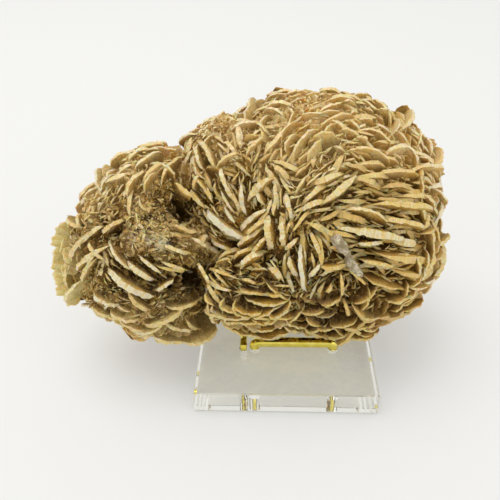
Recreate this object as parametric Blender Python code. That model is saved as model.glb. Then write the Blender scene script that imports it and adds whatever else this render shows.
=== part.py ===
"""Gypsum sand rose on a small wire rest with a clear acrylic block.

The rose is one grown mass: sandy lobes with lens-shaped blades standing out of
them, all joined in one solid.  It lies on a bent rod at the front and on two
wires that run back along the block and rise behind it.

Frame: origin at the centre of the block's underside, +X to the right, +Y to the
back, +Z up.  Lengths below are in millimetres and become metres in the meshes.
"""

import math
import random

import bmesh
import bpy
from mathutils import Matrix, Vector, noise

MM = 0.001
SEED = 41
GAP = 0.3

# --- colours, roughness ----------------------------------------------------
ACRYLIC_COLOUR = (0.86, 0.87, 0.84)
ACRYLIC_ROUGHNESS = 0.05
BRASS_COLOUR = (0.83, 0.66, 0.30)
BRASS_ROUGHNESS = 0.15
GYPSUM_COLOUR = (0.69, 0.56, 0.38)
GYPSUM_ROUGHNESS = 0.75

# --- block -----------------------------------------------------------------
BLOCK_WIDTH = 76.0
BLOCK_DEPTH = 76.0
BLOCK_THICK = 11.0
BLOCK_EDGE = 0.5
DRILL_ABOVE = 1.0

# --- rod and wires ---------------------------------------------------------
ROD_RADIUS = 2.25
ROD_LEFT = -13.4
ROD_RIGHT = 21.1
ROD_FRONT = -11.2
ROD_LEG_DEPTH = 4.0
ROD_BENDS = (2.5, 2.5)
ROD_SIDES = 16

WIRE_RADIUS = 1.55
WIRE_LEFT = -18.3
WIRE_RIGHT = 21.1
WIRE_LEFT_FRONT = -12.6
WIRE_RIGHT_FRONT = -4.6
WIRE_LEG_DEPTH = 9.5
WIRE_BACK = 35.0
WIRE_BENDS = (1.85, 5.0)
WIRE_SIDES = 12
LEFT_TIP = (49.5, 60.0)
RIGHT_TIP = (52.0, 58.0)
BEND_STEPS = 4

# --- sighting frame --------------------------------------------------------
# The rose is laid out as seen from one spot in front of it.  Places on it are
# given across and down on a square sheet SHEET units wide, looked at squarely
# from SIGHT_EYE with SIGHT_REACH units between the eye and the sheet.
SIGHT_EYE = Vector((-5.05, -181.9, 192.3))
SIGHT_DOWN = math.radians(36.84)
SIGHT_TURN = math.radians(3.09)
SIGHT_ROLL = math.radians(-1.63)
SIGHT_REACH = 552.0
SHEET = 500.0

# --- lobes: across, down, half width, half height, distance, half depth -----
LOBES = (
    (336, 216, 113, 122, 237.5, 34),
    (300, 152, 74, 61, 244.5, 28),
    (240, 187, 73, 75, 242.5, 28),
    (258, 284, 58, 48, 229.5, 20),
    (148, 252, 84, 89, 238.5, 27),
    (158, 206, 66, 62, 239.5, 26),
    (392, 238, 56, 70, 241.5, 24),
)
TIP_HEIGHT = 7.0
LOBE_FINENESS = 3
LOBE_ROUGHNESS = 3.2
LOBE_ROUGH_SCALE = 0.09
LOBE_NOISE_STEP = 3.0

# --- pits between the lobes and blades: across, down, radius, depth ----------
PITS = (
    (190, 200, 15, 9),
    (193, 281, 11, 8),
    (117, 231, 8, 6),
    (77, 273, 8, 6),
    (337, 308, 7, 5),
    (141, 297, 7, 5),
)
PIT_FINENESS = 2

# --- blades seen on edge: across, down of both ends, thickness, lean ---------
# Thickness is in sheet units; lean turns the outer rim up (+) or down (-).
EDGE_BLADES = (
    (206, 209, 249, 240, 7, 10), (204, 141, 219, 167, 5, 0),
    (198, 147, 204, 172, 4, 0), (219, 168, 233, 201, 5, 0),
    (238, 184, 243, 215, 5, 0), (248, 201, 275, 177, 10, 0),
    (243, 231, 269, 208, 6, 0), (249, 236, 270, 218, 5, 15),
    (241, 250, 268, 229, 6, 0), (253, 257, 270, 236, 5, 0),
    (270, 214, 275, 249, 7, 0), (285, 219, 286, 248, 6, 0),
    (302, 240, 307, 292, 6, 0), (311, 231, 322, 255, 5, 0),
    (240, 267, 264, 256, 6, 0), (211, 237, 236, 251, 5, 0),
    (321, 208, 358, 177, 9, 0), (300, 209, 326, 199, 6, 0),
    (333, 225, 404, 237, 10, 8), (373, 250, 428, 257, 9, 8),
    (356, 244, 383, 242, 5, 0), (338, 214, 366, 221, 6, 0),
    (368, 205, 427, 213, 8, 10), (393, 195, 431, 202, 6, 0),
    (343, 210, 386, 224, 8, 30), (331, 233, 366, 283, 5, -25),
    (379, 219, 421, 229, 6, 10), (388, 266, 424, 272, 6, 0),
    (372, 276, 404, 283, 6, 0), (404, 171, 438, 176, 6, 10),
    (381, 184, 410, 187, 5, 0), (347, 149, 390, 162, 7, 0),
    (367, 176, 423, 182, 6, 15), (355, 129, 392, 142, 6, 15),
    (414, 112, 402, 139, 7, 10), (425, 180, 436, 149, 6, 10),
    (371, 103, 394, 128, 6, 35), (316, 116, 351, 108, 5, 20),
    (285, 96, 310, 94, 5, 10), (318, 93, 344, 92, 5, 10),
    (356, 100, 380, 106, 5, 10), (244, 160, 267, 139, 6, 25),
    (292, 158, 318, 131, 6, 40), (311, 166, 338, 132, 7, 55),
    (239, 288, 288, 292, 6, 20), (256, 304, 289, 305, 6, 20),
    (241, 311, 302, 308, 7, 20), (224, 321, 262, 331, 7, 10),
    (250, 330, 297, 321, 7, 10), (320, 301, 343, 291, 6, 10),
    (339, 276, 345, 318, 5, 0), (352, 303, 376, 287, 6, 20),
    (302, 326, 340, 328, 7, 10), (337, 331, 374, 325, 7, 10),
    (376, 320, 413, 302, 7, 10), (383, 302, 416, 288, 7, 10),
    (416, 288, 434, 250, 8, 10), (436, 284, 450, 238, 8, 10),
    (441, 228, 446, 198, 7, 0), (212, 270, 240, 280, 5, 0),
    (214, 287, 238, 299, 6, 10), (212, 304, 240, 317, 6, 10),
    (292, 283, 330, 278, 6, 10), (305, 303, 333, 313, 6, 10),
    (360, 258, 392, 264, 5, 0), (71, 259, 94, 226, 6, 0),
    (78, 268, 111, 240, 6, 0), (83, 280, 95, 255, 5, 0),
    (115, 241, 128, 268, 8, 15), (108, 270, 154, 297, 8, 10),
    (127, 262, 154, 281, 7, 0), (139, 256, 161, 273, 5, 0),
    (127, 291, 150, 311, 6, 0), (144, 325, 186, 306, 8, 0),
    (125, 201, 147, 164, 7, 20), (146, 191, 171, 157, 7, 20),
    (165, 186, 186, 160, 6, 10), (173, 184, 192, 203, 7, 0),
    (100, 196, 116, 172, 6, 20), (109, 166, 139, 151, 7, 25),
    (140, 151, 170, 146, 6, 15), (161, 262, 185, 270, 5, 0),
    (163, 246, 187, 255, 5, 0), (170, 228, 196, 236, 5, 0),
    (94, 292, 120, 306, 6, 0), (110, 309, 140, 322, 6, 0),
    (120, 322, 156, 337, 8, 0), (158, 339, 196, 342, 8, 0),
    (188, 334, 222, 322, 8, 0), (72, 290, 96, 313, 8, 0),
    (52, 272, 68, 228, 9, 0), (54, 296, 76, 270, 9, 0),
    (62, 240, 84, 200, 7, 0), (166, 308, 200, 300, 5, 0),
    (196, 262, 212, 290, 5, 0),
)
RIM_SIDES = 8
SHORT_SIDES = 6
EDGE_SINK = 0.7
EDGE_REACH = 0.62
MOST_REACH = 7.0
LEAST_REACH = 3.5
BEVEL_LENGTH = 21.0
FLAT_SHARE = 0.55
RIM_UNEVEN = (0.90, 1.08)
END_SHARE = 0.5
BLADE_FOOT = 0.35

# --- blades that sit on the front rod: centre, turn, dip, half length, ------
# half reach and thickness, in millimetres and degrees
SEAT_BLADES = (
    (5.0, -8.2, 21.8, 8.0, 52.0, 6.0, 8.2, 2.6),
    (17.0, -7.4, 21.6, -6.0, 60.0, 6.5, 7.6, 2.6),
)

# --- blades over the sides and back, laid by rule ----------------------------
FILL_COUNT = 150
FILL_SIDES = 5
FILL_LONG = (10.0, 17.0)
FILL_SINK = 3.6
FILL_REACH = 0.62
FILL_THICK = (1.6, 2.8)
FILL_CLEAR = 12.2
FILL_LEAN = 25.0
LEAST_HEIGHT = 13.0

CLEAR_REACH = 300.0
WELD = 0.002


def remove_everything():
    """Start from an empty file."""
    for thing in list(bpy.data.objects):
        bpy.data.objects.remove(thing, do_unlink=True)


def material(name, colour, roughness, metallic):
    """One plain material for one sub-part."""
    made = bpy.data.materials.new(name)
    made.use_nodes = True
    shader = made.node_tree.nodes["Principled BSDF"]
    shader.inputs["Base Color"].default_value = (*colour, 1.0)
    shader.inputs["Roughness"].default_value = roughness
    shader.inputs["Metallic"].default_value = metallic
    return made


def object_from(name, mesh_data):
    """Put a mesh in the scene under a name."""
    made = bpy.data.objects.new(name, mesh_data)
    bpy.context.scene.collection.objects.link(made)
    return made


def mesh_from(name, points, faces):
    """A mesh from points in millimetres, its faces turned outward."""
    made = bpy.data.meshes.new(name)
    made.from_pydata([Vector(p) * MM for p in points], [], faces)
    shell = bmesh.new()
    shell.from_mesh(made)
    bmesh.ops.recalc_face_normals(shell, faces=shell.faces)
    shell.to_mesh(made)
    shell.free()
    return made


# --- sighting ----------------------------------------------------------------
def sight_axes():
    """Right, up and forward of the sighting frame."""
    right = Vector((math.cos(SIGHT_TURN), math.sin(SIGHT_TURN), 0.0))
    level = Vector((-math.sin(SIGHT_TURN), math.cos(SIGHT_TURN), 0.0))
    rise = Vector((0.0, 0.0, 1.0))
    forward = math.cos(SIGHT_DOWN) * level - math.sin(SIGHT_DOWN) * rise
    up = math.sin(SIGHT_DOWN) * level + math.cos(SIGHT_DOWN) * rise
    across = math.cos(SIGHT_ROLL) * right + math.sin(SIGHT_ROLL) * up
    upward = -math.sin(SIGHT_ROLL) * right + math.cos(SIGHT_ROLL) * up
    return across, upward, forward


ACROSS, UPWARD, FORWARD = sight_axes()


def sight_ray(across, down):
    """Direction from the eye through a place on the sheet, one unit forward."""
    side = (across - SHEET / 2) / SIGHT_REACH
    lift = (SHEET / 2 - down) / SIGHT_REACH
    return FORWARD + ACROSS * side + UPWARD * lift


def lobe_frames():
    """Centre and half axes of each lobe's outer form."""
    frames = []
    for across, down, wide, high, distance, deep in LOBES:
        centre = SIGHT_EYE + sight_ray(across, down) * distance
        scale = distance / SIGHT_REACH
        frames.append((centre, Vector((wide * scale, high * scale, deep))))
    return frames


FRAMES = lobe_frames()


def to_lobe(vector, half):
    """A vector in a lobe's own unit-sphere terms."""
    return Vector((
        vector.dot(ACROSS) / half.x,
        vector.dot(UPWARD) / half.y,
        vector.dot(FORWARD) / half.z,
    ))


def shrunk(half, by):
    """Half axes with a shell of this thickness taken off."""
    return Vector((half.x - by, half.y - by, half.z - by))


def lobe_normal(point, centre, half):
    """Outward direction of a lobe at a point."""
    local = to_lobe(point - centre, half)
    out = (ACROSS * (local.x / half.x) + UPWARD * (local.y / half.y)
           + FORWARD * (local.z / half.z))
    return out.normalized()


def inside_lobe(point, centre, half):
    """Below 1 inside a lobe, above 1 outside."""
    return to_lobe(point - centre, half).length


def place_on_front(across, down, sink):
    """First place the sight ray meets a lobe shrunk by sink, and its normal."""
    ray = sight_ray(across, down)
    best = None
    nearest = None
    for centre, outer in FRAMES:
        half = shrunk(outer, sink)
        start = to_lobe(SIGHT_EYE - centre, half)
        step = to_lobe(ray, half)
        a = step.dot(step)
        b = start.dot(step)
        c = start.dot(start) - 1.0
        room = b * b - a * c
        closest = -b / a
        miss = (start + step * closest).length
        if nearest is None or miss < nearest[0]:
            nearest = (miss, closest, centre, half)
        if room < 0.0:
            continue
        reach = (-b - math.sqrt(room)) / a
        if best is None or reach < best[0]:
            best = (reach, centre, half)
    if best is None:
        _, reach, centre, half = nearest
    else:
        reach, centre, half = best
    point = SIGHT_EYE + ray * reach
    return point, lobe_normal(point, centre, half)


# --- crystal forms -----------------------------------------------------------
def lens(centre, along, out, half_long, half_out, half_thick, sides, flat, rng):
    """A blade: a lens with a rim polygon and either two points or two flats."""
    side = along.cross(out).normalized()
    spin = rng.uniform(0.0, math.tau / sides)
    rim = []
    for k in range(sides):
        turn = spin + math.tau * k / sides
        grow = rng.uniform(*RIM_UNEVEN)
        rim.append(along * (math.cos(turn) * half_long * grow)
                   + out * (math.sin(turn) * half_out * grow))
    points = [centre + p for p in rim]
    faces = []
    for sign in (1.0, -1.0):
        start = len(points)
        if flat:
            for p in rim:
                points.append(centre + p * FLAT_SHARE + side * (sign * half_thick))
            for k in range(sides):
                after = (k + 1) % sides
                faces.append((k, after, start + after, start + k))
            faces.append(tuple(range(start, start + sides)))
        else:
            points.append(centre + side * (sign * half_thick))
            for k in range(sides):
                faces.append((k, (k + 1) % sides, start))
    return points, faces


def turned(out, about, degrees):
    """An outward direction leaned about a blade's length."""
    return Matrix.Rotation(math.radians(degrees), 3, about) @ out


def edge_blade(entry, rng):
    """A blade standing out of the front, from its two ends on the sheet."""
    across0, down0, across1, down1, thick, lean = entry
    first = place_on_front(across0, down0, LEAST_REACH)[0]
    second = place_on_front(across1, down1, LEAST_REACH)[0]
    reach = (second - first).length / 2 * EDGE_REACH
    reach = min(MOST_REACH, max(LEAST_REACH, reach))
    first, normal0 = place_on_front(across0, down0, reach * EDGE_SINK)
    second, normal1 = place_on_front(across1, down1, reach * EDGE_SINK)
    along = second - first
    half_long = along.length / 2
    along.normalize()
    centre_across = (across0 + across1) / 2
    centre_down = (down0 + down1) / 2
    middle, normal = place_on_front(centre_across, centre_down, reach * EDGE_SINK)
    out = (normal + (normal0 + normal1) * END_SHARE).normalized()
    out = (out - along * out.dot(along)).normalized()
    if along.dot(ACROSS) < 0:
        along = -along
    out = turned(out, along, lean)
    centre = (first + second + middle) / 3 - out * (reach * BLADE_FOOT)
    half_thick = thick * (middle - SIGHT_EYE).dot(FORWARD) / SIGHT_REACH / 2
    flat = half_long * 2 > BEVEL_LENGTH
    sides = RIM_SIDES if flat else SHORT_SIDES
    return lens(centre, along, out, half_long, reach * (1 + BLADE_FOOT), half_thick,
                sides, flat, rng), centre


def seat_blade(entry, rng):
    """A blade under the rose whose rim comes down on the front rod."""
    x, y, z, turn, dip, half_long, half_out, thick = entry
    along = Vector((math.cos(math.radians(turn)), math.sin(math.radians(turn)), 0.0))
    out = Vector((0.0, -math.cos(math.radians(dip)), -math.sin(math.radians(dip))))
    out = (out - along * out.dot(along)).normalized()
    return lens(Vector((x, y, z)), along, out, half_long, half_out, thick / 2,
                RIM_SIDES, True, rng)


def fill_blades(taken, rng):
    """Blades over the sides and back: spread evenly, turned at random."""
    golden = math.pi * (3.0 - math.sqrt(5.0))
    made = []
    for index, (centre, outer) in enumerate(FRAMES):
        half = shrunk(outer, FILL_SINK)
        for k in range(FILL_COUNT):
            height = 1.0 - 2.0 * (k + 0.5) / FILL_COUNT
            ring = math.sqrt(1.0 - height * height)
            turn = golden * k + index
            point = (centre + ACROSS * (half.x * ring * math.cos(turn))
                     + UPWARD * (half.y * ring * math.sin(turn))
                     + FORWARD * (half.z * height))
            normal = lobe_normal(point, centre, half)
            if point.z < LEAST_HEIGHT:
                continue
            others = [f for i, f in enumerate(FRAMES) if i != index]
            if any(inside_lobe(point, c, shrunk(h, FILL_SINK)) < 1.0 for c, h in others):
                continue
            if any((point - c).length < FILL_CLEAR for c in taken):
                continue
            taken.append(point)
            along = normal.cross(Vector((rng.uniform(-1, 1), rng.uniform(-1, 1),
                                         rng.uniform(-1, 1)))).normalized()
            out = turned(normal, along, rng.uniform(-FILL_LEAN, FILL_LEAN))
            out = (out - along * out.dot(along)).normalized()
            half_long = rng.uniform(*FILL_LONG) / 2
            reach = half_long * FILL_REACH
            foot = point - out * (reach * BLADE_FOOT)
            made.append(lens(foot, along, out, half_long, reach * (1 + BLADE_FOOT),
                             rng.uniform(*FILL_THICK) / 2, FILL_SIDES, False, rng))
    return made


def rough_lobe(centre, half, offset):
    """A lobe as a faceted, dented ball."""
    ball = bmesh.new()
    bmesh.ops.create_icosphere(ball, subdivisions=LOBE_FINENESS, radius=1.0)
    points = []
    for vert in ball.verts:
        unit = vert.co
        place = (centre + ACROSS * (unit.x * half.x) + UPWARD * (unit.y * half.y)
                 + FORWARD * (unit.z * half.z))
        bump = noise.noise(place * LOBE_ROUGH_SCALE + Vector((offset, 0.0, 0.0)))
        points.append(place + lobe_normal(place, centre, half) * (bump * LOBE_ROUGHNESS))
    faces = [tuple(v.index for v in face.verts) for face in ball.faces]
    ball.free()
    return points, faces


def pit(entry):
    """A short plug that digs a pit along the sight ray."""
    across, down, radius, depth = entry
    point, normal = place_on_front(across, down, TIP_HEIGHT)
    wide = radius * (point - SIGHT_EYE).dot(FORWARD) / SIGHT_REACH
    ball = bmesh.new()
    bmesh.ops.create_icosphere(ball, subdivisions=PIT_FINENESS, radius=1.0)
    along = normal.cross(Vector((0.0, 0.0, 1.0))).normalized()
    other = normal.cross(along)
    points = [point + along * (v.co.x * wide) + other * (v.co.y * wide)
              + normal * (v.co.z * depth) for v in ball.verts]
    faces = [tuple(v.index for v in face.verts) for face in ball.faces]
    ball.free()
    return points, faces


# --- wires -------------------------------------------------------------------
def rounded_path(corners, bends):
    """Corners of a wire's centre line with each bend turned through an arc."""
    path = [Vector(corners[0])]
    for before, corner, after, bend in zip(corners, corners[1:], corners[2:], bends):
        before, corner, after = Vector(before), Vector(corner), Vector(after)
        arrive = (corner - before).normalized()
        leave = (after - corner).normalized()
        half_turn = arrive.angle(leave) / 2
        back = bend * math.tan(half_turn)
        start = corner - arrive * back
        heart = start + (leave - arrive * leave.dot(arrive)).normalized() * bend
        axis = arrive.cross(leave).normalized()
        for step in range(BEND_STEPS + 1):
            swing = Matrix.Rotation(2 * half_turn * step / BEND_STEPS, 3, axis)
            path.append(heart + swing @ (start - heart))
    path.append(Vector(corners[-1]))
    return path


def wire_along(path, radius, sides):
    """A round wire with flat ends along a centre line."""
    points = []
    faces = []
    tangents = []
    for k, here in enumerate(path):
        before = path[max(k - 1, 0)]
        after = path[min(k + 1, len(path) - 1)]
        tangents.append(((here - before).normalized() + (after - here).normalized()).normalized())
    across = tangents[0].orthogonal().normalized()
    for k, here in enumerate(path):
        if k:
            turn = tangents[k - 1].rotation_difference(tangents[k])
            across = turn @ across
        across = (across - tangents[k] * across.dot(tangents[k])).normalized()
        up = tangents[k].cross(across)
        for s in range(sides):
            angle = math.tau * s / sides
            points.append(here + across * (radius * math.cos(angle))
                          + up * (radius * math.sin(angle)))
    for k in range(len(path) - 1):
        for s in range(sides):
            after = (s + 1) % sides
            faces.append((k * sides + s, k * sides + after,
                          (k + 1) * sides + after, (k + 1) * sides + s))
    faces.append(tuple(range(sides)))
    last = (len(path) - 1) * sides
    faces.append(tuple(range(last, last + sides)))
    return points, faces


def rod_corners():
    """Centre line of the front rod: leg, bar, leg."""
    top = BLOCK_THICK + GAP + ROD_RADIUS
    foot = BLOCK_THICK - ROD_LEG_DEPTH + GAP
    return [(ROD_LEFT, ROD_FRONT, foot), (ROD_LEFT, ROD_FRONT, top),
            (ROD_RIGHT, ROD_FRONT, top), (ROD_RIGHT, ROD_FRONT, foot)]


def arm_corners(x, front, tip):
    """Centre line of one back arm: leg, run along the block, prong."""
    top = BLOCK_THICK + GAP + WIRE_RADIUS
    foot = BLOCK_THICK - WIRE_LEG_DEPTH + GAP
    return [(x, front, foot), (x, front, top), (x, WIRE_BACK, top), (x, *tip)]


def legs():
    """Where each leg enters the block: x, y, radius, depth."""
    return (
        (ROD_LEFT, ROD_FRONT, ROD_RADIUS, ROD_LEG_DEPTH),
        (ROD_RIGHT, ROD_FRONT, ROD_RADIUS, ROD_LEG_DEPTH),
        (WIRE_LEFT, WIRE_LEFT_FRONT, WIRE_RADIUS, WIRE_LEG_DEPTH),
        (WIRE_RIGHT, WIRE_RIGHT_FRONT, WIRE_RADIUS, WIRE_LEG_DEPTH),
    )


# --- solids ------------------------------------------------------------------
def helper(name, points, faces):
    """A cutter or joined helper that isn't part of the object."""
    made = object_from(name, mesh_from(name, points, faces))
    made.hide_render = True
    made.display_type = "WIRE"
    return made


def boolean(target, tool, operation):
    """One Boolean, worked out now and kept as plain mesh; the tool is used up."""
    change = target.modifiers.new(operation.title(), "BOOLEAN")
    change.operation = operation
    change.solver = "EXACT"
    change.object = tool
    graph = bpy.context.evaluated_depsgraph_get()
    done = bpy.data.meshes.new_from_object(target.evaluated_get(graph))
    target.modifiers.clear()
    target.data = done
    bpy.data.objects.remove(tool, do_unlink=True)


def make_block():
    """The acrylic block with bevelled edges and blind holes for the legs."""
    half_wide, half_deep = BLOCK_WIDTH / 2, BLOCK_DEPTH / 2
    edge = BLOCK_EDGE
    rings = (
        (edge, 0.0), (0.0, edge), (0.0, BLOCK_THICK - edge), (edge, BLOCK_THICK),
    )
    points = []
    for inset, z in rings:
        points.extend([(sx * (half_wide - inset), sy * (half_deep - inset), z)
                       for sx, sy in ((-1, -1), (1, -1), (1, 1), (-1, 1))])
    faces = [(3, 2, 1, 0), (12, 13, 14, 15)]
    for ring in range(3):
        for k in range(4):
            after = (k + 1) % 4
            faces.append((ring * 4 + k, ring * 4 + after,
                          ring * 4 + 4 + after, ring * 4 + 4 + k))
    block = object_from("acrylic_base", mesh_from("acrylic_base", points, faces))
    for x, y, radius, depth in legs():
        path = [Vector((x, y, BLOCK_THICK - depth)), Vector((x, y, BLOCK_THICK + DRILL_ABOVE))]
        drill = helper("drill", *wire_along(path, radius + GAP, ROD_SIDES))
        boolean(block, drill, "DIFFERENCE")
    block.data.materials.clear()
    block.data.materials.append(material("clear_acrylic", ACRYLIC_COLOUR, ACRYLIC_ROUGHNESS, 0.0))
    return block


def make_wire(name, corners, bends, radius, sides, coat):
    """One round wire node."""
    path = rounded_path(corners, bends)
    made = object_from(name, mesh_from(name, *wire_along(path, radius, sides)))
    for face in made.data.polygons:
        face.use_smooth = len(face.vertices) == 4
    made.data.materials.append(coat)
    return made


def make_rose():
    """Lobes, pits and blades joined in one solid, then cleared round the wires."""
    rng = random.Random(SEED)
    lobes = [rough_lobe(centre, shrunk(half, TIP_HEIGHT), LOBE_NOISE_STEP * k)
             for k, (centre, half) in enumerate(FRAMES)]
    rose = object_from("sand_rose", mesh_from("sand_rose", *lobes[0]))
    for lobe in lobes[1:]:
        boolean(rose, helper("lobe", *lobe), "UNION")
    for entry in PITS:
        boolean(rose, helper("pit", *pit(entry)), "DIFFERENCE")
    blades = []
    taken = []
    for entry in EDGE_BLADES:
        blade, centre = edge_blade(entry, rng)
        blades.append(blade)
        taken.append(centre)
    blades.extend(seat_blade(entry, rng) for entry in SEAT_BLADES)
    blades.extend(fill_blades(taken, rng))
    for blade in blades:
        boolean(rose, helper("crystal", *blade), "UNION")
    return rose


def clear_round(rose):
    """Take the block and the wires, each with its gap, out of the rose."""
    top = BLOCK_THICK + GAP
    points = [(sx * CLEAR_REACH, sy * CLEAR_REACH, z) for z in (top - BLOCK_WIDTH, top)
              for sx, sy in ((-1, -1), (1, -1), (1, 1), (-1, 1))]
    faces = [(3, 2, 1, 0), (4, 5, 6, 7), (0, 1, 5, 4), (1, 2, 6, 5), (2, 3, 7, 6), (3, 0, 4, 7)]
    tools = [helper("clear_block", points, faces)]
    for corners, bends, radius, sides in wire_jobs():
        path = rounded_path(corners, bends)
        path[0].z -= GAP
        path[-1] = path[-1] + (path[-1] - path[-2]).normalized() * GAP
        tools.append(helper("clear_wire", *wire_along(path, radius + GAP, sides)))
    for tool in tools:
        boolean(rose, tool, "DIFFERENCE")


def wire_jobs():
    """Centre line, bends, radius and sides of each wire."""
    left = arm_corners(WIRE_LEFT, WIRE_LEFT_FRONT, LEFT_TIP)
    right = arm_corners(WIRE_RIGHT, WIRE_RIGHT_FRONT, RIGHT_TIP)
    return (
        (rod_corners(), ROD_BENDS, ROD_RADIUS, ROD_SIDES),
        (left, WIRE_BENDS, WIRE_RADIUS, WIRE_SIDES),
        (right, WIRE_BENDS, WIRE_RADIUS, WIRE_SIDES),
    )


def cleaned(thing):
    """Triangles only, no doubled points, only the one large body kept."""
    shell = bmesh.new()
    shell.from_mesh(thing.data)
    bmesh.ops.remove_doubles(shell, verts=shell.verts, dist=WELD * MM)
    bmesh.ops.dissolve_degenerate(shell, edges=shell.edges, dist=WELD * MM)
    bmesh.ops.triangulate(shell, faces=shell.faces)
    unseen = set(shell.verts)
    groups = []
    while unseen:
        stack = [unseen.pop()]
        group = set(stack)
        while stack:
            for edge in stack.pop().link_edges:
                for vert in edge.verts:
                    if vert in unseen:
                        unseen.discard(vert)
                        group.add(vert)
                        stack.append(vert)
        groups.append(group)
    groups.sort(key=len)
    for group in groups[:-1]:
        bmesh.ops.delete(shell, geom=list(group), context="VERTS")
    bmesh.ops.recalc_face_normals(shell, faces=shell.faces)
    open_edges = sum(1 for edge in shell.edges if len(edge.link_faces) != 2)
    print(thing.name, "triangles", len(shell.faces), "bodies", len(groups), "odd edges", open_edges)
    shell.to_mesh(thing.data)
    shell.free()


remove_everything()
make_block()
names = ("front_rest", "back_arm_left", "back_arm_right")
for name, (corners, bends, radius, sides) in zip(names, wire_jobs()):
    coat = material(name + "_brass", BRASS_COLOUR, BRASS_ROUGHNESS, 1.0)
    make_wire(name, corners, bends, radius, sides, coat)
rose_object = make_rose()
clear_round(rose_object)
cleaned(rose_object)
rose_object.data.materials.clear()
rose_object.data.materials.append(material("gypsum", GYPSUM_COLOUR, GYPSUM_ROUGHNESS, 0.0))
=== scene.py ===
# %% [markdown]
# A gypsum sand rose on a small stand.  The rose is a lump of sandy crust with
# hundreds of lens-shaped blades growing out of it.  The stand is a clear
# block, a bent brass rod in front and two brass wires behind.
# The imported model gives the exact places, so it is loaded first.

import math
import random

import bmesh
import bpy
import numpy as np
from mathutils import Matrix, Vector, noise


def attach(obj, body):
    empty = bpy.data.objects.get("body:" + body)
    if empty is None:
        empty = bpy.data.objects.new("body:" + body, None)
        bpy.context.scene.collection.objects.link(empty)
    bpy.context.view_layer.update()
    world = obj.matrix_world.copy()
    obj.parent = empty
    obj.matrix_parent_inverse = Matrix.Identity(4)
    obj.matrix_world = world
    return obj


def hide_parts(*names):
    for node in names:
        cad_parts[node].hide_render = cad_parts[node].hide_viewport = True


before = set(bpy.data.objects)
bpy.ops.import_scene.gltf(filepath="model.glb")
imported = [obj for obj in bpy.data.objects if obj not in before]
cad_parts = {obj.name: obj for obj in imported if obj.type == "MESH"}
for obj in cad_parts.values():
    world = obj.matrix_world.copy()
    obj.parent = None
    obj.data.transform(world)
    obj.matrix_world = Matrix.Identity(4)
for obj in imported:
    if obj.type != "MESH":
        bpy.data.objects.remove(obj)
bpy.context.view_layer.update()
MM = 0.001


def placed(name, data):
    """An object of this data, linked into the scene."""
    made = bpy.data.objects.new(name, data)
    bpy.context.scene.collection.objects.link(made)
    return made


# %% [markdown]
# The rose is laid out as seen from one spot in front of it and above.  A
# place on it is given across and down on a square sheet 500 units wide, held
# 552 units from the eye.  The camera stands at the same spot, so the layout
# and the render agree.  A frame of three axes turns sheet places into rays.

# %% Sighting frame and camera
SIGHT_EYE = Vector((-5.05, -181.9, 192.3))
SIGHT_DOWN = math.radians(36.84)
SIGHT_TURN = math.radians(3.09)
SIGHT_ROLL = math.radians(-1.63)
SIGHT_REACH = 552.0
SHEET = 500.0
SENSOR = 36.0


def sight_axes():
    """Right, up and forward of the sighting frame."""
    right = Vector((math.cos(SIGHT_TURN), math.sin(SIGHT_TURN), 0.0))
    level = Vector((-math.sin(SIGHT_TURN), math.cos(SIGHT_TURN), 0.0))
    rise = Vector((0.0, 0.0, 1.0))
    forward = math.cos(SIGHT_DOWN) * level - math.sin(SIGHT_DOWN) * rise
    up = math.sin(SIGHT_DOWN) * level + math.cos(SIGHT_DOWN) * rise
    across = math.cos(SIGHT_ROLL) * right + math.sin(SIGHT_ROLL) * up
    upward = -math.sin(SIGHT_ROLL) * right + math.cos(SIGHT_ROLL) * up
    return across, upward, forward


ACROSS, UPWARD, FORWARD = sight_axes()
camera_data = bpy.data.cameras.new("camera")
camera_data.sensor_width = SENSOR
camera_data.lens = SENSOR * SIGHT_REACH / SHEET
camera_data.clip_start = 0.01
camera = placed("camera", camera_data)
turn = Matrix((ACROSS, UPWARD, -FORWARD)).transposed()
camera.matrix_world = Matrix.Translation(SIGHT_EYE * MM) @ turn.to_4x4()
bpy.context.scene.camera = camera
print("lens", round(camera_data.lens, 2))

# %% [markdown]
# The lobes are rounded lumps given on the same sheet by their middle and half
# sizes, with their distance from the eye and half depth in millimetres.  Their
# outer form is where the blade tips reach; the sandy crust lies TIP_HEIGHT
# below it.  A real rose isn't made of lumps, so a few soft round places are
# slimmer than the lobes, or fuller where the number is below nought: each is a
# place, a width on the sheet and the millimetres that it takes off.

# %% Lobes
LOBES = (
    (336, 216, 113, 122, 237.5, 34),
    (300, 152, 74, 61, 244.5, 28),
    (240, 187, 73, 75, 242.5, 28),
    (258, 284, 58, 48, 229.5, 20),
    (148, 252, 84, 89, 238.5, 27),
    (158, 206, 66, 62, 239.5, 26),
    (392, 238, 56, 70, 241.5, 24),
)
TIP_HEIGHT = 7.0
SLIM_ZONES = (
    (456, 196, 32, 7.0), (454, 255, 26, 3.6), (94, 326, 26, 4.6), (46, 212, 18, 3.5),
    (300, 84, 20, 0.6), (140, 143, 22, 1.5), (410, 330, 26, 1.0), (418, 110, 16, 3.0),
    (90, 178, 24, 2.0), (190, 346, 26, -1.0), (210, 308, 13, -3.0), (203, 309, 9, -3.0),
    (116, 331, 13, 2.6),
)


def sight_ray(across, down):
    """Direction from the eye through a place on the sheet, one unit forward."""
    side = (across - SHEET / 2) / SIGHT_REACH
    lift = (SHEET / 2 - down) / SIGHT_REACH
    return FORWARD + ACROSS * side + UPWARD * lift


FRAMES = []
for across, down, wide, high, distance, deep in LOBES:
    scale = distance / SIGHT_REACH
    FRAMES.append((SIGHT_EYE + sight_ray(across, down) * distance,
                   Vector((wide * scale, high * scale, deep))))


def to_lobe(vector, half):
    """A vector in a lobe's own unit-sphere terms."""
    return Vector((vector.dot(ACROSS) / half.x, vector.dot(UPWARD) / half.y,
                   vector.dot(FORWARD) / half.z))


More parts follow.
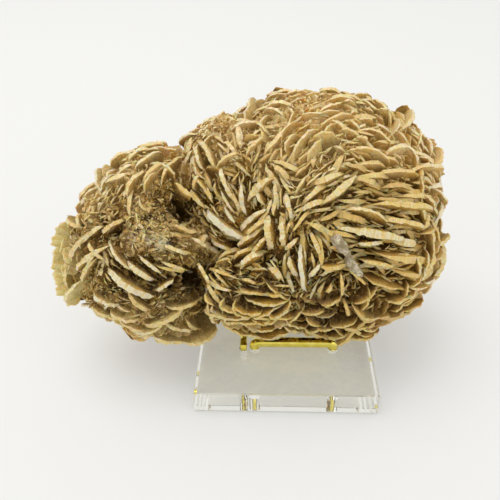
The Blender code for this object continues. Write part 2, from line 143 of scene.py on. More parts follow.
def lobe_normal(point, centre, half):
    """Outward direction of a lobe at a point."""
    local = to_lobe(point - centre, half)
    return (ACROSS * (local.x / half.x) + UPWARD * (local.y / half.y)
            + FORWARD * (local.z / half.z)).normalized()


def slimmer(across, down):
    """How far the rose stays inside its lobes at a place on the sheet, in millimetres."""
    return sum(much * math.exp(-((across - x) ** 2 + (down - y) ** 2) / wide ** 2)
               for x, y, wide, much in SLIM_ZONES)


def first_meeting(across, down, sink):
    """Where a sight ray first meets a lobe shrunk by sink, and whether it does."""
    ray = sight_ray(across, down)
    sink = sink + slimmer(across, down)
    best, nearest = None, None
    for centre, outer in FRAMES:
        half = outer - Vector((sink, sink, sink))
        start = to_lobe(SIGHT_EYE - centre, half)
        step = to_lobe(ray, half)
        a, b = step.dot(step), start.dot(step)
        room = b * b - a * (start.dot(start) - 1.0)
        miss = (start - step * (b / a)).length
        if nearest is None or miss < nearest[0]:
            nearest = (miss, -b / a, centre, half)
        if room >= 0.0:
            reach = (-b - math.sqrt(room)) / a
            if best is None or reach < best[0]:
                best = (reach, centre, half)
    return best or nearest[1:], best is not None


def place_on_front(across, down, sink):
    """First place a sight ray meets a lobe shrunk by sink, and its normal."""
    reach, centre, half = first_meeting(across, down, sink)[0]
    point = SIGHT_EYE + sight_ray(across, down) * reach
    return point, lobe_normal(point, centre, half)


# %% [markdown]
# Blades that stand edge-on are listed by the two ends of their rim on the
# sheet, the width of the rim there, and a lean in degrees that opens the
# blade further to the side it already turns to.  Plates that show a face are
# listed by a place, the direction of their rim on the sheet, their half
# length, their half reach, the degrees that the rim turns towards the eye and
# their thickness in millimetres.  The honey plates make the clear left and
# lower left edge, and two grey plates make the one grey shard.  These are the
# blades a collector would know the piece by; all the others follow by rule.

# %% Listed blades
EDGE_BLADES = (
    (206, 209, 249, 240, 7, 10), (191, 190, 205, 207, 5, 0), (204, 141, 219, 167, 5, 0),
    (198, 147, 204, 172, 4, 0), (219, 168, 233, 201, 5, 0), (238, 184, 243, 215, 5, 0),
    (248, 201, 275, 177, 9, 0), (243, 231, 269, 208, 5, 0), (249, 236, 270, 218, 5, 15),
    (241, 250, 268, 229, 5, 0), (253, 257, 270, 236, 4, 0), (270, 214, 275, 249, 7, 0),
    (285, 219, 286, 248, 6, 0), (286, 250, 299, 238, 5, 0), (302, 240, 307, 292, 5, 0),
    (309, 276, 321, 263, 5, 0), (311, 231, 322, 255, 5, 0), (290, 256, 298, 276, 5, 0),
    (240, 267, 264, 256, 6, 0), (268, 268, 280, 281, 6, 0), (211, 237, 236, 251, 4, 10),
    (224, 206, 236, 222, 4, 0), (257, 186, 266, 205, 4, 0), (276, 166, 290, 178, 5, 0),
    (321, 208, 358, 177, 8, 0), (300, 209, 326, 199, 6, 0), (333, 225, 404, 237, 10, 5),
    (373, 250, 428, 257, 9, 5), (356, 244, 383, 242, 4, 0), (338, 214, 366, 221, 6, 0),
    (368, 205, 427, 213, 8, 10), (393, 195, 431, 202, 5, 0), (421, 184, 437, 188, 5, 0),
    (343, 210, 386, 224, 4, 30), (379, 219, 421, 229, 5, 10), (388, 266, 424, 272, 5, 0),
    (360, 271, 411, 285, 3, 10), (404, 171, 438, 176, 5, 10), (381, 184, 410, 187, 5, 0),
    (347, 149, 390, 162, 3, 10), (367, 176, 423, 182, 4, 15), (355, 129, 392, 142, 3, 15),
    (338, 131, 361, 139, 3, 10), (408, 116, 399, 139, 5, 5), (425, 180, 436, 149, 5, 10),
    (424, 137, 430, 160, 4, 0), (371, 103, 394, 128, 3, 20), (316, 116, 351, 108, 3, 20),
    (324, 130, 343, 126, 3, 10), (266, 111, 288, 116, 3, 15), (285, 96, 310, 94, 3, 10),
    (318, 93, 344, 92, 4, 10), (356, 100, 380, 106, 3, 10), (244, 160, 267, 139, 4, 15),
    (284, 153, 297, 135, 3, 15), (292, 158, 318, 131, 3, 20), (311, 166, 338, 132, 3, 25),
    (254, 121, 274, 133, 3, 0), (229, 121, 250, 110, 3, 10), (200, 128, 222, 118, 3, 10),
    (180, 143, 199, 133, 3, 10), (226, 141, 240, 160, 4, 0), (236, 128, 238, 150, 4, 0),
    (245, 298, 290, 297, 3, 20), (236, 305, 298, 311, 3, 20), (221, 318, 252, 333, 3, 15),
    (253, 333, 300, 320, 3, 15), (239, 288, 265, 293, 3, 15), (266, 293, 280, 293, 3, 15),
    (242, 280, 256, 284, 3, 10), (300, 310, 325, 309, 3, 15), (320, 304, 342, 295, 3, 15),
    (305, 327, 328, 324, 3, 15), (341, 271, 342, 296, 4, 0), (344, 298, 349, 314, 4, 0),
    (369, 286, 358, 310, 3, 15), (352, 300, 369, 315, 3, 15), (352, 303, 376, 287, 3, 15),
    (358, 318, 376, 317, 3, 15), (339, 324, 369, 322, 3, 15), (340, 333, 375, 334, 3, 10),
    (376, 320, 413, 302, 3, 15), (383, 301, 415, 287, 4, 15), (413, 285, 431, 251, 6, 10),
    (430, 282, 441, 242, 5, 5), (434, 226, 437, 202, 5, 0), (208, 294, 214, 306, 3, 10),
    (212, 270, 240, 280, 4, 0), (320, 266, 346, 265, 5, 10), (326, 291, 332, 283, 4, 0),
    (348, 267, 367, 284, 3, 0), (261, 336, 284, 331, 5, 0), (360, 258, 392, 264, 4, 0),
    (71, 259, 94, 226, 6, 0), (80, 268, 111, 242, 6, 0), (83, 279, 96, 255, 5, 0),
    (102, 233, 124, 219, 5, 0), (109, 243, 131, 271, 3, 25), (108, 269, 154, 297, 7, 15),
    (127, 262, 154, 281, 6, 0), (139, 256, 161, 273, 4, 0), (127, 291, 150, 311, 5, 0),
    (154, 290, 173, 278, 4, 0), (144, 325, 186, 306, 6, 0), (183, 319, 199, 328, 4, 0),
    (125, 198, 145, 170, 5, 25), (142, 192, 166, 168, 4, 20), (158, 186, 178, 160, 4, 10),
    (173, 184, 190, 201, 6, 0), (70, 220, 82, 232, 4, 0), (100, 196, 116, 172, 3, 5),
    (109, 166, 139, 151, 4, 25), (140, 151, 170, 146, 4, 15), (161, 262, 185, 270, 4, 0),
    (163, 246, 187, 255, 4, 0), (170, 228, 196, 236, 4, 0), (94, 292, 120, 306, 5, 0),
    (110, 309, 140, 322, 4, 0), (166, 308, 200, 300, 4, 0), (196, 262, 212, 290, 4, 0),
    (88, 244, 104, 262, 4, 0), (190, 239, 206, 249, 4, 0), (195, 245, 204, 233, 4, 0),
    (86, 270, 98, 248, 3, 0), (66, 288, 70, 258, 4, 0), (70, 300, 82, 278, 4, 0),
    (92, 302, 122, 317, 4, 0), (118, 317, 152, 331, 4, 0), (150, 333, 186, 341, 5, 0),
    (182, 341, 218, 326, 5, 0), (160, 322, 192, 326, 4, 0),
)
FACE_PLATES = (
    (325, 150, 95, 17, 17, 25, 1.6), (382, 120, 60, 12, 11, 20, 1.2),
    (254, 146, 100, 11, 12, 20, 1.2), (291, 146, 70, 9, 10, 20, 1.0),
    (304, 146, 60, 10, 11, 20, 1.0), (272, 110, 100, 10, 9, 15, 1.0),
    (314, 102, 95, 13, 9, 15, 1.0), (348, 110, 85, 12, 10, 15, 1.0),
    (352, 128, 80, 11, 9, 20, 1.0), (212, 134, 115, 10, 9, 20, 1.0),
    (236, 121, 110, 10, 8, 20, 1.0),
)
HONEY_PLATES = (
    (65, 230, 140, 9, 8, 15, 1.4), (60, 240, 176, 9, 8, 5, 1.6), (61, 254, 184, 8, 8, 25, 1.2),
    (60, 264, 172, 9, 8, 8, 1.6), (62, 277, 198, 9, 8, 22, 1.3), (64, 289, 190, 8, 8, 8, 1.5),
    (71, 298, 212, 8, 7, 20, 1.2), (67, 248, 170, 9, 6, 30, 1.0), (68, 270, 192, 9, 6, 30, 1.0),
    (120, 320, 242, 10, 5, 20, 1.0), (142, 331, 250, 11, 6, 10, 1.2),
    (168, 337, 262, 12, 6, 25, 1.2), (194, 338, 280, 11, 6, 10, 1.2),
)
GREY_PLATES = ((341, 245, 36, 14, 5.2, 14, 0.7), (353, 265, 33, 16, 4.2, 8, 0.7))
print(len(EDGE_BLADES), "edge blades,", len(FACE_PLATES + HONEY_PLATES + GREY_PLATES), "plates")

# %% [markdown]
# A blade of desert gypsum is a lens: two gently domed faces that thin out to
# a sharp edge.  Where it sticks out of the rose its edge is worn off, which
# leaves a pale band, widest in the middle and pointed at both ends.  One unit
# lens is worked out with rings of points, everything past the worn cut is
# pulled back to it, and waves and chips make its rim ragged.  It could be a
# scaled sphere, but then there would be no band to catch the light.  Every
# point keeps how near the edge it is ("rim"), how far out of the crust it
# stands ("root") and where it is along the blade ("run").

# %% A unit lens
EDGE_BLUNT = 0.10
CORNER = 7.0
CHIPPED = 0.35
TILT = 0.25
FLATTENED = 0.35
WAVE_COUNTS = (2, 3, 5, 7, 11, 17)
JITTER = 0.8


def lens_height(x, y, ends):
    """Half thickness of a unit lens; a high ends keeps it thick to its ends."""
    along = 1.0 - min(1.0, abs(x)) ** ends
    out = 1.0 - FLATTENED * min(1.0, abs(y)) ** 4
    return EDGE_BLUNT + (1.0 - EDGE_BLUNT) * along * out


class Lens:
    """A lens one unit in half length, half width and half thickness."""

    def __init__(self, sides, rings, wave, worn, seed, ends=2.5):
        rng = random.Random(seed)
        waves = [(k, rng.uniform(0.4, 1.0) * wave / k ** 0.5, rng.uniform(0, math.tau))
                 for k in WAVE_COUNTS if k * 2 < sides]
        tilt = rng.uniform(-TILT, TILT)
        turns = [math.tau * k / sides for k in range(sides)]
        outline = []
        for t in turns:
            ripple = sum(a * math.sin(k * t + p) for k, a, p in waves)
            ripple += rng.uniform(-wave, wave) * JITTER
            rise = max(0.0, math.sin(t)) / (worn * (1.0 + tilt * math.cos(t)))
            outline.append((1.0 + rise ** CORNER) ** (-1.0 / CORNER) * (1.0 + ripple))
        points, rim, faces = [], [], []
        for side in (1.0, -1.0):
            start = len(points)
            points.append((0.0, 0.0, side))
            rim.append(0.0)
            for ring in rings:
                for t, far in zip(turns, outline):
                    x, y = math.cos(t) * ring * far, math.sin(t) * ring * far
                    chip = 1.0 + ring ** 8 * rng.uniform(-CHIPPED, CHIPPED)
                    points.append((x, y, side * lens_height(x, y, ends) * chip))
                    rim.append(ring)
            for k in range(sides):
                after = (k + 1) % sides
                fan = (start, start + 1 + k, start + 1 + after)
                faces.append(fan if side > 0 else fan[::-1])
                for r in range(len(rings) - 1):
                    a = start + 1 + r * sides + k
                    b = start + 1 + r * sides + after
                    quad = (a, a + sides, b + sides, b)
                    faces.append(quad if side > 0 else quad[::-1])
        top = 1 + (len(rings) - 1) * sides
        low = top + 1 + len(rings) * sides
        for k in range(sides):
            after = (k + 1) % sides
            faces.append((top + k, low + k, low + after, top + after))
        self.points, self.faces = np.array(points), faces
        self.values = {"rim": np.array(rim), "run": self.points[:, 0],
                       "root": np.clip(self.points[:, 1] / worn * 0.5 + 0.5, 0.0, 1.0)}
        self.worn, self.band = worn, lens_height(0.0, worn, ends)


print("a small lens has", len(Lens(8, (1.0,), 0.05, 0.8, 1).faces), "faces")

# %% [markdown]
# Blades are gathered in a basket of points, faces and named values, and the
# basket becomes one mesh.  Sharp edges are found by angle, so the domed faces
# look smooth while the worn band stays crisp.

# %% A basket of blades
SHARP_ANGLE = math.radians(32)
FACTS = ("tone", "amber", "sand", "grey", "glow")
CUP_OUT = 0.6


def mesh_object(name, points, faces, values):
    """A mesh object with named values on its points."""
    data = bpy.data.meshes.new(name)
    data.from_pydata(points, [], faces)
    for key, numbers in values.items():
        layer = data.attributes.new(key, "FLOAT", "POINT")
        layer.data.foreach_set("value", np.asarray(numbers, dtype=np.float32))
    data.shade_smooth()
    data.set_sharp_from_angle(angle=SHARP_ANGLE)
    return placed(name, data)


class Basket:
    """Collects blades and turns them into one mesh."""

    def __init__(self):
        self.points, self.faces, self.count = [], [], 0
        self.values = {key: [] for key in ("rim", "root", "run", "size", "loose", "crumb") + FACTS}

    def add(self, centre, along, out, size, cup, facts, lens):
        """One blade: half length, half reach and half thickness in size."""
        side = along.cross(out).normalized()
        x, y, z = lens.points.T
        bend = cup * size[0] * (x * x + CUP_OUT * y * y)
        place = (np.array(centre) + np.outer(x * size[0], along)
                 + np.outer(y * size[1], out) + np.outer(z * size[2] + bend, side))
        start = self.count
        self.points.append(place * MM)
        self.faces.extend([tuple(start + i for i in face) for face in lens.faces])
        self.count += len(place)
        for key, numbers in lens.values.items():
            self.values[key].append(numbers)
        self.values["size"].append(np.full(len(place), min(size[0], size[1])))
        self.values["loose"].append(np.ones(len(place)))
        self.values["crumb"].append(np.clip(1.8 - lens.values["root"] * 2.0, 0.0, 1.0))
        for key in FACTS:
            self.values[key].append(np.full(len(place), facts[key]))

    def made(self, name):
        """The basket as an object."""
        values = {key: np.concatenate(parts) for key, parts in self.values.items()}
        return mesh_object(name, np.concatenate(self.points), self.faces, values)


# %% [markdown]
# Large parts of the rose differ, and soft round zones on the sheet say where:
# each is a place, a width and a strength.  Where zones of a kind overlap, the
# strongest counts.
# - "sand" is thick sandy crust, and "bare" keeps blades away from it.
# - "amber" is honey-coloured, "glow" is thin enough for light to shine through, and that light is
#   painted into its colour.
# - "pale" and "brown" are lighter and darker blades, "chalk" is white spots.
# - "hollow" sinks deep gaps and paints shade into them, "fill" raises the crust to the tips.
# - "closed" keeps blades edge-on to the eye, "crossed" lets them cross.
# - "thin" makes the grown blades thinner.

# %% Zones of the rose
ZONES = {
    "sand": (
        (155, 225, 40, 1.0), (130, 250, 60, 0.5), (185, 225, 30, 0.8), (215, 140, 34, 0.5),
        (212, 262, 26, 0.6), (230, 310, 22, 0.6), (110, 225, 30, 0.6), (185, 290, 34, 0.6),
        (112, 200, 30, 0.5), (100, 300, 26, 0.5), (270, 105, 26, 0.4), (170, 325, 34, 0.5),
        (245, 290, 22, 0.5), (310, 318, 60, 0.45), (222, 200, 18, 0.4), (130, 308, 22, 0.9),
    ),
    "bare": (
        (446, 222, 16, 1.2), (124, 333, 16, 1.2), (337, 308, 11, 1.2), (191, 285, 16, 1.2),
        (188, 203, 14, 1.2), (150, 240, 70, 1.0), (105, 230, 45, 1.0), (150, 180, 50, 0.9),
        (215, 125, 45, 0.9), (300, 105, 60, 0.8), (385, 125, 45, 0.6), (160, 320, 50, 0.9),
        (212, 280, 20, 0.4), (90, 290, 40, 0.9), (245, 215, 50, 0.75), (290, 250, 45, 0.7),
        (330, 190, 30, 0.6),
    ),
    "amber": (
        (62, 250, 34, 1.0), (72, 288, 30, 1.0), (120, 318, 30, 0.7), (165, 340, 44, 0.8),
        (206, 330, 30, 0.7), (325, 148, 20, 0.6), (300, 145, 24, 0.5), (125, 155, 30, 0.6),
        (400, 120, 40, 0.4), (345, 190, 40, 0.5), (265, 105, 26, 0.4), (440, 262, 26, 0.5),
        (390, 325, 40, 0.5), (300, 190, 40, 0.5), (95, 185, 26, 0.6), (440, 215, 26, 0.4),
        (320, 335, 40, 0.4), (370, 130, 50, 0.4),
    ),
    "glow": (
        (240, 209, 18, 0.5), (226, 226, 12, 0.4), (432, 284, 20, 0.9), (167, 150, 24, 1.0),
        (89, 198, 24, 1.0), (187, 170, 20, 0.8), (103, 170, 22, 1.0), (438, 188, 22, 0.9),
        (210, 121, 32, 1.0), (431, 282, 18, 0.8), (194, 238, 18, 0.7), (133, 248, 18, 0.7),
        (436, 160, 20, 0.8), (70, 290, 30, 1.0), (130, 328, 30, 0.9), (60, 220, 24, 1.0),
        (310, 125, 80, 1.0), (390, 135, 60, 1.0), (230, 125, 50, 0.9), (60, 260, 40, 1.0),
        (120, 165, 50, 0.8), (180, 345, 40, 0.6), (440, 240, 40, 0.5), (390, 330, 40, 0.4),
    ),
    "pale": (
        (255, 225, 55, 0.7), (228, 228, 30, 0.9), (245, 198, 26, 0.9), (309, 266, 18, 0.9),
        (285, 250, 30, 0.8), (160, 148, 26, 0.8), (92, 192, 26, 0.8), (109, 166, 26, 0.8),
        (199, 127, 28, 0.8), (230, 116, 26, 0.6), (258, 103, 26, 0.6), (438, 210, 22, 0.8),
        (431, 281, 18, 0.7), (433, 182, 18, 0.6), (141, 221, 18, 0.7), (123, 195, 18, 0.6),
        (385, 235, 50, 0.4), (125, 270, 55, 0.7), (330, 195, 34, 0.4), (205, 165, 30, 0.2),
        (415, 140, 40, 0.3),
    ),
    "brown": (
        (122, 322, 15, 0.7), (78, 266, 18, 0.7), (305, 174, 18, 0.7), (140, 298, 16, 0.7),
        (388, 319, 30, 1.0), (368, 180, 24, 1.0), (340, 221, 22, 1.0), (376, 286, 30, 1.0),
        (394, 198, 24, 0.8), (343, 160, 20, 0.8), (408, 232, 20, 0.8), (395, 261, 20, 0.8),
        (273, 164, 22, 0.7), (268, 236, 22, 0.7), (351, 305, 20, 0.6),
    ),
    "chalk": (
        (152, 240, 5, 1.0), (162, 242, 5, 1.0), (132, 238, 4, 1.0), (206, 178, 5, 0.6),
    ),
    "hollow": (
        (163, 284, 9, 0.9), (172, 290, 9, 0.9), (150, 277, 7, 0.7), (128, 312, 9, 0.5),
        (173, 212, 9, 0.8), (181, 222, 7, 0.7), (203, 276, 9, 0.8), (337, 300, 7, 0.8),
        (384, 288, 8, 0.8), (118, 283, 7, 0.8), (209, 289, 8, 0.8), (176, 272, 7, 0.7),
        (412, 227, 6, 0.6), (388, 320, 8, 0.6), (150, 262, 7, 0.5), (140, 300, 7, 0.5),
        (112, 286, 7, 0.5), (170, 300, 8, 0.5), (190, 196, 13, 1.0), (186, 213, 13, 1.0),
        (177, 203, 12, 1.0), (194, 280, 18, 1.0), (116, 231, 9, 1.0), (77, 273, 8, 1.0),
        (337, 308, 8, 1.0), (216, 262, 7, 0.6), (95, 262, 8, 0.6), (128, 290, 9, 0.6),
    ),
    "fill": (
        (240, 212, 24, 0.9), (226, 228, 16, 0.8), (90, 195, 24, 0.8), (160, 150, 20, 0.8),
        (215, 125, 45, 1.0), (275, 103, 50, 0.9), (340, 108, 60, 0.8), (400, 130, 40, 0.6),
        (150, 165, 40, 0.7), (158, 222, 42, 0.9), (110, 205, 40, 0.8), (95, 300, 34, 0.5),
        (150, 325, 40, 0.7), (205, 325, 30, 0.7), (245, 150, 40, 0.7), (300, 148, 40, 0.6),
        (225, 215, 25, 0.4), (66, 240, 26, 0.8), (440, 190, 30, 0.4), (180, 170, 40, 0.6),
        (250, 220, 50, 0.45), (300, 235, 45, 0.45),
    ),
    "closed": (
        (85, 255, 38, 1.2), (115, 228, 30, 1.2), (180, 240, 30, 0.9), (135, 262, 50, 1.0),
        (165, 290, 40, 1.0), (110, 250, 40, 0.8), (238, 215, 45, 1.0), (285, 250, 50, 0.9),
        (390, 238, 50, 0.7), (335, 200, 40, 0.7),
    ),
    "crossed": (
        (285, 235, 50, 0.6), (225, 170, 34, 0.3), (345, 300, 40, 0.4),
    ),
    "thin": (
        (310, 120, 60, 1.0), (370, 120, 50, 0.9), (260, 120, 40, 0.7), (290, 320, 60, 1.0),
        (240, 305, 40, 1.0), (370, 310, 50, 0.9), (160, 160, 50, 0.6), (340, 165, 30, 0.6),
        (160, 320, 50, 0.6),
    ),
}
ZONE_EDGE = 1.2
TONE_SPREAD = 0.25
BROWN_PULL = 0.9
SAND_ON_BLADES = 0.6


def zone_value(kind, across, down):
    """Strongest of one kind of zones at a place on the sheet."""
    across, down = np.asarray(across, float), np.asarray(down, float)
    value = np.zeros(across.shape)
    for x, y, wide, strength in ZONES[kind]:
        gap = ((across - x) ** 2 + (down - y) ** 2) / wide ** 2
        value = np.maximum(value, strength * np.exp(-gap * ZONE_EDGE))
    return value


def on_sheet(points):
    """Across and down of points given in millimetres."""
    away = np.asarray(points) - np.array(SIGHT_EYE)
    depth = away @ np.array(FORWARD)
    across = SHEET / 2 + SIGHT_REACH * (away @ np.array(ACROSS)) / depth
    down = SHEET / 2 - SIGHT_REACH * (away @ np.array(UPWARD)) / depth
    return across, down


def facts_at(across, down, rng):
    """Tone, amber, sand and glow of one blade."""
    here = {kind: float(zone_value(kind, across, down)) for kind in ZONES}
    tone = rng.uniform(-TONE_SPREAD, TONE_SPREAD) + here["pale"] - here["brown"] * BROWN_PULL
    return {"tone": tone, "amber": here["amber"], "sand": here["sand"] * SAND_ON_BLADES,
            "glow": here["glow"], "grey": 0.0}


# %% [markdown]
# Each listed blade is set so that its widest part lies under the outer
# form and its band stands a little out of it.  It grows straight out of the
# surface, but near the outline it turns towards the eye, as the outermost
# blades of a rosette do, so its band shows and not its broad face.  Two kinds
# follow by rule: arched ridges that keep along the outline inside it, like the
# half-buried plates on the top, and thin petals on the outline itself.  The
# thinner a blade is, the more it arches.

# %% Set the listed blades
EDGE_REACH = 0.62
MOST_REACH = 7.0
LEAST_REACH = 3.2
EDGE_SINK = 0.7
BLADE_FOOT = 0.35
MOST_OPEN = 44.0
CLOSED_PULL = 0.6
PLATE_SINK = 4.0
PLATE_CUP = (0.06, 0.16)
HONEY_SINK = 3.0
HONEY_CUP = (-0.10, 0.15)
GREY_SINK = 0.5
GREY_CUP = 0.10
LONG_LENSES = [Lens(40, (0.55, 0.92, 1.0), 0.065, 0.66 + 0.06 * (k % 5), 60 + k, 2.0 + k * 0.5)
               for k in range(10)]
SHORT_LENSES = [Lens(26, (0.6, 0.92, 1.0), 0.08, 0.66 + 0.06 * (k % 5), 80 + k, 2.0 + k * 0.4)
                for k in range(10)]
PLATE_LENSES = [Lens(44, (0.5, 0.8, 0.95, 1.0), 0.06, 0.90, 90 + k, 4.0) for k in range(6)]
PETAL_LENSES = [Lens(24, (0.6, 0.92, 1.0), 0.10, 0.85, 100 + k, 3.0) for k in range(10)]
RAGGED_LENSES = [Lens(30, (0.5, 0.85, 1.0), 0.13, 0.85, 110 + k, 3.5) for k in range(4)]
SPINDLE_LENSES = [Lens(40, (0.55, 0.92, 1.0), 0.03, 0.55 + 0.05 * k, 120 + k, 1.7)
                  for k in range(4)]
BAND_SCALE = 0.85
SPINDLE_BAND = 7.5


def opened(point, normal, along, lean, most):
    """Outward direction of a blade, square to its length and opened at most so far."""
    eye = (SIGHT_EYE - point).normalized()
    eye = (eye - along * eye.dot(along)).normalized()
    grow = (normal - along * normal.dot(along)).normalized()
    angle = math.degrees(math.atan2(along.dot(eye.cross(grow)), eye.dot(grow)))
    angle = math.copysign(min(abs(angle) + lean, most), angle)
    return Matrix.Rotation(math.radians(angle), 3, along) @ eye


def edge_place(entry):
    """Centre, length axis, outward axis and sizes of an edge-on blade."""
    across0, down0, across1, down1, thick, lean = entry
    first = place_on_front(across0, down0, LEAST_REACH)[0]
    second = place_on_front(across1, down1, LEAST_REACH)[0]
    reach = (second - first).length / 2 * EDGE_REACH
    reach = min(MOST_REACH, max(LEAST_REACH, reach))
    sink = reach * EDGE_SINK
    first, normal0 = place_on_front(across0, down0, sink)
    second, normal1 = place_on_front(across1, down1, sink)
    middle, normal = place_on_front((across0 + across1) / 2, (down0 + down1) / 2, sink)
    along = second - first
    half_long = along.length / 2
    along.normalize()
    if along.dot(ACROSS) < 0:
        along = -along
    closed = float(zone_value("closed", (across0 + across1) / 2, (down0 + down1) / 2))
    most = MOST_OPEN * (1.0 - closed * CLOSED_PULL)
    out = opened(middle, normal + normal0 * 0.5 + normal1 * 0.5, along, lean, most)
    centre = (first + second + middle) / 3 - out * (reach * BLADE_FOOT)
    half_thick = thick * BAND_SCALE * (middle - SIGHT_EYE).dot(FORWARD) / SIGHT_REACH / 2
    return centre, along, out, (half_long, reach * (1 + BLADE_FOOT), half_thick)


def plate_place(entry, sink):
    """Centre, axes and sizes of a plate that shows its face."""
    across, down, heading, half_long, half_out, turn, thick = entry
    centre = place_on_front(across, down, sink)[0]
    scale = (centre - SIGHT_EYE).dot(FORWARD) / SIGHT_REACH
    eye = (SIGHT_EYE - centre).normalized()
    heading = math.radians(heading)
    out = ACROSS * math.cos(heading) + UPWARD * math.sin(heading)
    out = (out - eye * out.dot(eye)).normalized()
    along = eye.cross(out)
    turn = math.radians(turn)
    out = out * math.cos(turn) + eye * math.sin(turn)
    return centre, along, out, (half_long * scale, half_out * scale / math.cos(turn), thick / 2)


def place_blade(basket, place, cup, facts, lens):
    """Adds a blade, stretched so that its worn band comes where its tip would be."""
    centre, along, out, (half_long, reach, half_thick) = place
    size = (half_long, reach / lens.worn, half_thick / lens.band)
    basket.add(centre, along, out, size, cup, facts, lens)


ROSE_MIDDLE = (250.0, 235.0)
OUTLINE_SEARCH = (40.0, 260.0)
HALVINGS = 16
PETALS = 110
PETAL_SINK = 3.0
PETAL_REACH = (4.0, 8.0)
PETAL_INSET = (1.0, 1.4)
PETAL_WIDTH = (0.8, 1.6)
PETAL_TURN = (0.0, 35.0)
PETAL_THICK = (0.4, 0.9)
PETAL_STRAY = 28.0
PETAL_CUP = (-0.10, 0.16)
RIDGES = 170
RIDGE_INSET = 4.0
TOP_RIDGES = 50.0
SIDE_RIDGES = 24.0
RIDGE_HALF = (6.0, 16.0)
RIDGE_THICK = (2.0, 4.2)
RIDGE_LEAN = (0.0, 25.0)
RIDGE_STRAY = 24.0
LEFT_OUT = 0.85
LEAST_ARCH = 0.06
MOST_ARCH = 0.42
ARCH_SHARE = (0.3, 1.0)
ARCHED_LENGTH = 7.0
LONG_FROM = 5.0


def outline_point(angle, inset):
    """A place some way inside the outline, and the way out of it on the sheet."""
    step = (math.cos(angle), -math.sin(angle))
    near, far = OUTLINE_SEARCH
    for _ in range(HALVINGS):
        half_way = (near + far) / 2
        place = [m + c * half_way for m, c in zip(ROSE_MIDDLE, step)]
        if first_meeting(*place, 0.0)[1]:
            near = half_way
        else:
            far = half_way
    across, down = (m + c * (near - inset) for m, c in zip(ROSE_MIDDLE, step))
    normal = place_on_front(across, down, PETAL_SINK)[1]
    return across, down, math.degrees(math.atan2(normal.dot(UPWARD), normal.dot(ACROSS)))


def petal_entry(angle, rng):
    """A small plate at the outline, its rim turned outwards."""
    half_out = rng.uniform(*PETAL_REACH)
    across, down, heading = outline_point(angle, half_out * rng.uniform(*PETAL_INSET))
    return (across, down, heading + rng.gauss(0.0, PETAL_STRAY),
            half_out * rng.uniform(*PETAL_WIDTH), half_out, rng.uniform(*PETAL_TURN),
            rng.uniform(*PETAL_THICK))


def ridge_entry(angle, rng):
    """An edge-on blade that follows the outline some way inside it."""
    deepest = TOP_RIDGES if math.sin(angle) > 0.5 else SIDE_RIDGES
    across, down, heading = outline_point(angle, rng.uniform(RIDGE_INSET, deepest))
    along = math.radians(heading + 90 + rng.gauss(0.0, RIDGE_STRAY))
    half = rng.uniform(*RIDGE_HALF)
    x, y = math.cos(along) * half, math.sin(along) * half
    return (across - x, down + y, across + x, down - y, rng.uniform(*RIDGE_THICK),
            rng.uniform(*RIDGE_LEAN))


def kept(across, down, rng):
    """Whether a blade by rule is kept; few are where the sand lies bare."""
    return rng.random() > LEFT_OUT * float(zone_value("bare", across, down))


def arch_of(place, most, rng):
    """How far a blade arches: its middle bulges away from the middle of the rose."""
    centre, along, out = place[:3]
    side = along.cross(out)
    outward = centre - place_on_front(*ROSE_MIDDLE, 0.0)[0]
    return -math.copysign(rng.uniform(*ARCH_SHARE) * most, side.dot(outward))


def one_of(lenses, rng):
    """One lens of a kind, drawn at random."""
    return lenses[rng.randrange(len(lenses))]


rng = random.Random(17)
basket = Basket()
ridges = [ridge_entry(math.tau * k / RIDGES, rng) for k in range(RIDGES)]
ridges = [e for e in ridges if kept(e[0], e[1], rng) and kept(e[2], e[3], rng)]
for entry in EDGE_BLADES + tuple(ridges):
    place = edge_place(entry)
    middle = ((entry[0] + entry[2]) / 2, (entry[1] + entry[3]) / 2)
    facts = facts_at(*middle, rng)
    thinness = min(1.0, facts["glow"] * 1.3)
    arch = arch_of(place, LEAST_ARCH + (MOST_ARCH - LEAST_ARCH) * thinness, rng)
    lenses = LONG_LENSES if place[3][0] > LONG_FROM else SHORT_LENSES
    if entry[4] > SPINDLE_BAND:
        lenses = SPINDLE_LENSES
    arch *= min(1.0, ARCHED_LENGTH / place[3][0])
    place_blade(basket, place, arch, facts, one_of(lenses, rng))
for entry in FACE_PLATES:
    facts = facts_at(*entry[:2], rng)
    facts["amber"] = max(facts["amber"], 0.3)
    facts.update(tone=facts["tone"] - 0.1, glow=facts["glow"] * 0.4)
    place_blade(basket, plate_place(entry, PLATE_SINK), rng.uniform(*PLATE_CUP), facts,
                one_of(PLATE_LENSES, rng))
for entry in HONEY_PLATES:
    facts = facts_at(*entry[:2], rng)
    # painted light: honey plates glow fully, so light through them is painted in
    facts.update(amber=1.0, glow=1.0, sand=0.0, tone=max(facts["tone"], 0.2))
    place_blade(basket, plate_place(entry, HONEY_SINK), rng.uniform(*HONEY_CUP), facts,
                one_of(RAGGED_LENSES, rng))
for k in range(PETALS):
    entry = petal_entry(math.tau * k / PETALS, rng)
    if not kept(*entry[:2], rng):
        continue
    facts = facts_at(*entry[:2], rng)
    # painted light: outline petals glow and are paler, for light shining through them
    facts.update(glow=max(facts["glow"], 0.8), tone=facts["tone"] + 0.15)
    place_blade(basket, plate_place(entry, PETAL_SINK), rng.uniform(*PETAL_CUP), facts,
                one_of(PETAL_LENSES, rng))
facts = {"tone": 0.0, "amber": 0.0, "sand": 0.0, "grey": 1.0, "glow": 0.0}
for entry in GREY_PLATES:
    place_blade(basket, plate_place(entry, GREY_SINK), GREY_CUP, facts,
                one_of(RAGGED_LENSES, rng))
main_blades = basket.made("main_blades")
print("main blades:", sum(len(p.vertices) - 2 for p in main_blades.data.polygons), "triangles")

# %% [markdown]
# The sandy crust is one skin over all the lobes.  Seven rough balls are put
# together and remeshed with small voxels, which melts them into one closed
# surface.  A sculpted mesh would do as well, but this one follows the same
# lobes as the solid model.  The numbers are millimetres of height: noise
# gives the crust lumps, swells, pits and knobs, and zones fill or hollow it.

